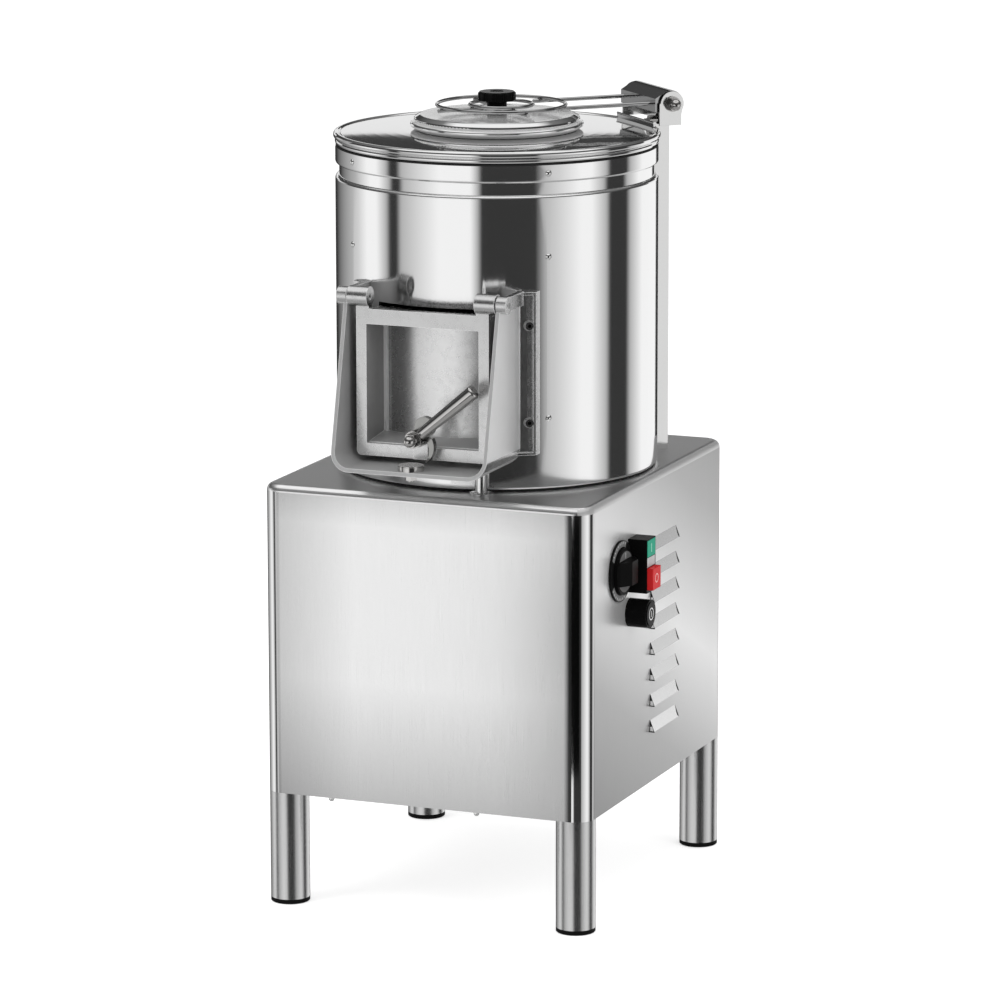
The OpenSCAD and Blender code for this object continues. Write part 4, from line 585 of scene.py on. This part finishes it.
def emission(nt, colour):
    e = nt.nodes.new("ShaderNodeEmission")
    put(nt, e.inputs["Color"], colour)
    return e


def floor():
    """A pale floor that glows towards the camera and that metal doesn't mirror."""
    bm = bmesh.new()
    bmesh.ops.create_circle(bm, cap_ends=True, radius=14.0, segments=96)
    m = bpy.data.materials.new("floor_pale")
    nt = clear_tree(m)
    out = nt.nodes.new("ShaderNodeOutputMaterial")
    b = nt.nodes.new("ShaderNodeBsdfDiffuse")
    put(nt, b.inputs["Color"], 0.9)
    glow = emission(nt, 1.0)
    lp = nt.nodes.new("ShaderNodeLightPath")
    put(nt, glow.inputs["Strength"], math_node(nt, "MULTIPLY", lp.outputs["Is Camera Ray"], 0.6))
    add = nt.nodes.new("ShaderNodeAddShader")
    nt.links.new(b.outputs[0], add.inputs[0])
    nt.links.new(glow.outputs[0], add.inputs[1])
    nt.links.new(add.outputs[0], out.inputs[0])
    o = built("floor", bm, m)
    o.location = (0, 0, -0.0006)
    o.visible_glossy = False


def flag():
    """A black card beside the cabinet, seen only in its polished corner."""
    bm = bmesh.new()
    x, y, r, steps = 0.185, -0.23, 1.2, 12     # middle and radius of its curve
    bearings = [math.radians(-20.5 + 60.5 * k / steps) for k in range(steps + 1)]
    low, top = ([bm.verts.new((x + r * math.sin(a), y - r * math.cos(a), z)) for a in bearings]
                for z in (-0.10, 0.292))
    for k in range(steps):
        bm.faces.new((low[k], low[k + 1], top[k + 1], top[k]))
    m = bpy.data.materials.new("flag_black")
    nt = clear_tree(m)
    out = nt.nodes.new("ShaderNodeOutputMaterial")
    nt.links.new(emission(nt, 0.003).outputs[0], out.inputs[0])
    o = built("flag", bm, m)
    o.visible_camera = o.visible_diffuse = o.visible_shadow = o.visible_transmission = False


floor()
flag()

# The studio that the metal mirrors: soft boxes round the machine with black flags between them. For each
# box the bearings where it starts, glows half, is full, is full to, glows half, and ends, in degrees from
# -Y towards +X.
FLAG, HALF, FULL = 0.04, 0.5, 1.0
ACROSS = (FLAG, HALF, FULL, FULL, HALF, FLAG)
SOFT_BOXES = [(-140, -103, -84, -74, -64, -60), (-54, -50, -20, 3, 8, 11), (50, 54, 84, 93, 106, 110),
              (127, 132, 148, 178, 179, 180)]
STUDIO = [(-180, FLAG)] + [stop for box in SOFT_BOXES for stop in zip(box, ACROSS)]
# The low bright band behind the machine, by bearing, which level surfaces mirror
BACK = [(-180, 1.0), (-130, 1.0), (-115, 0.0), (150, 0.0), (165, 1.0), (180, 1.0)]
# By the sine of the elevation: how far the ceiling hides the walls and the ceiling's own grey, where the
# band behind begins, and how far the floor hides the rest
CEILING = [(-1, 0.0), (0.150, 0.0), (0.157, 1.0), (1, 1.0)]
OVERHEAD = [(-1, 0.05), (0.3, 0.05), (0.7, 0.2), (0.8, 1.0), (0.95, 1.0), (1, 0.5)]
ABOVE_LEVEL = [(-1, 0.0), (0.0, 0.0), (0.05, 1.0), (1, 1.0)]
FLOOR_PART = [(-1, 1.0), (-0.62, 1.0), (-0.36, 0.0), (1, 0.0)]
FLOOR_GREY = 0.42
BACK_GREY = 0.86
DIFFUSE_LIGHT = 0.55           # strength of the plain light on everything that isn't mirrored


def world():
    w = bpy.data.worlds.new("studio")
    w.cycles.sampling_method = "NONE"      # satin and polished metal mirror the same studio
    bpy.context.scene.world = w
    nt = clear_tree(w)
    out = nt.nodes.new("ShaderNodeOutputWorld")
    tc = nt.nodes.new("ShaderNodeTexCoord")
    sep = nt.nodes.new("ShaderNodeSeparateXYZ")
    nt.links.new(tc.outputs["Generated"], sep.inputs[0])
    x, y, z = (sep.outputs[k] for k in "XYZ")
    bearing = math_node(nt, "ARCTAN2", x, math_node(nt, "MULTIPLY", y, -1.0))
    turn = math_node(nt, "ADD", math_node(nt, "MULTIPLY", bearing, 0.5 / math.pi), 0.5)
    rise = math_node(nt, "ADD", math_node(nt, "MULTIPLY", z, 0.5), 0.5)

    def by_bearing(pairs):
        return grey_ramp(nt, turn, [((a + 180) / 360, g) for a, g in pairs])

    def by_rise(pairs):
        return grey_ramp(nt, rise, [((h + 1) / 2, g) for h, g in pairs])

    def background(colour, strength=1.0):
        n = nt.nodes.new("ShaderNodeBackground")
        put(nt, n.inputs[0], colour)
        put(nt, n.inputs[1], strength)
        return n.outputs[0]

    def choice(fac, a, b):
        n = nt.nodes.new("ShaderNodeMixShader")
        for k, v in enumerate((fac, a, b)):
            nt.links.new(v, n.inputs[k])
        return n.outputs[0]

    back = math_node(nt, "MULTIPLY", by_bearing(BACK), by_rise(ABOVE_LEVEL))
    walls = mix(nt, back, by_bearing(STUDIO), BACK_GREY)
    room = mix(nt, by_rise(CEILING), walls, by_rise(OVERHEAD))
    room = mix(nt, by_rise(FLOOR_PART), room, FLOOR_GREY)
    lp = nt.nodes.new("ShaderNodeLightPath")
    plain = choice(lp.outputs["Is Camera Ray"], background(1.0, DIFFUSE_LIGHT), background(1.0))
    nt.links.new(choice(lp.outputs["Is Glossy Ray"], plain, background(room)), out.inputs[0])


world()


LAMP_TARGET = Vector((0, 0, 0.5))


def lamp(name, pos, size, size_y, power):
    d = bpy.data.lights.new(name, "AREA")
    d.shape = "RECTANGLE"
    d.size = size
    d.size_y = size_y
    d.energy = power
    o = in_scene(name, d)
    o.location = pos
    o.rotation_mode = "QUATERNION"
    o.rotation_quaternion = (LAMP_TARGET - Vector(pos)).to_track_quat("-Z", "Y")
    o.visible_glossy = False


lamp("key_left", (-2.2, -2.6, 2.4), 2.0, 2.4, 38)
lamp("fill_right", (3.0, -1.2, 1.8), 1.6, 2.2, 26)
lamp("top", (0.2, -0.2, 3.2), 2.2, 2.2, 24)

# The camera that was fitted to the photo: angles in radians, distance in metres, focal length in pixels
YAW, PITCH, ROLL = 0.38285, 0.20324, -0.00163
DISTANCE = 7.03644491
FOCAL, PIXELS, SENSOR = 5483.70256, 1000, 36
AIM_RIGHT, AIM_UP = 0.00304222, 0.4920255      # where it aims, from the foot of the drum's axis


def camera():
    level = math.cos(PITCH)
    forward = Vector((-math.sin(YAW) * level, math.cos(YAW) * level, -math.sin(PITCH)))
    right = Vector((math.cos(YAW), math.sin(YAW), 0))
    up = right.cross(forward)
    target = right * AIM_RIGHT + Vector((0, 0, AIM_UP)) - Vector((OX / 1000, 0, 0))
    turned = Matrix((right, up, -forward)).transposed() @ Matrix.Rotation(ROLL, 3, "Z")
    c = bpy.data.cameras.new("camera")
    c.sensor_width = SENSOR
    c.sensor_fit = "HORIZONTAL"
    c.lens = FOCAL * SENSOR / PIXELS
    c.clip_start, c.clip_end = 0.1, 100
    o = in_scene("camera", c)
    o.matrix_world = Matrix.Translation(target - forward * DISTANCE) @ turned.to_4x4()
    bpy.context.scene.camera = o


camera()
bpy.context.scene.view_settings.view_transform = "Standard"
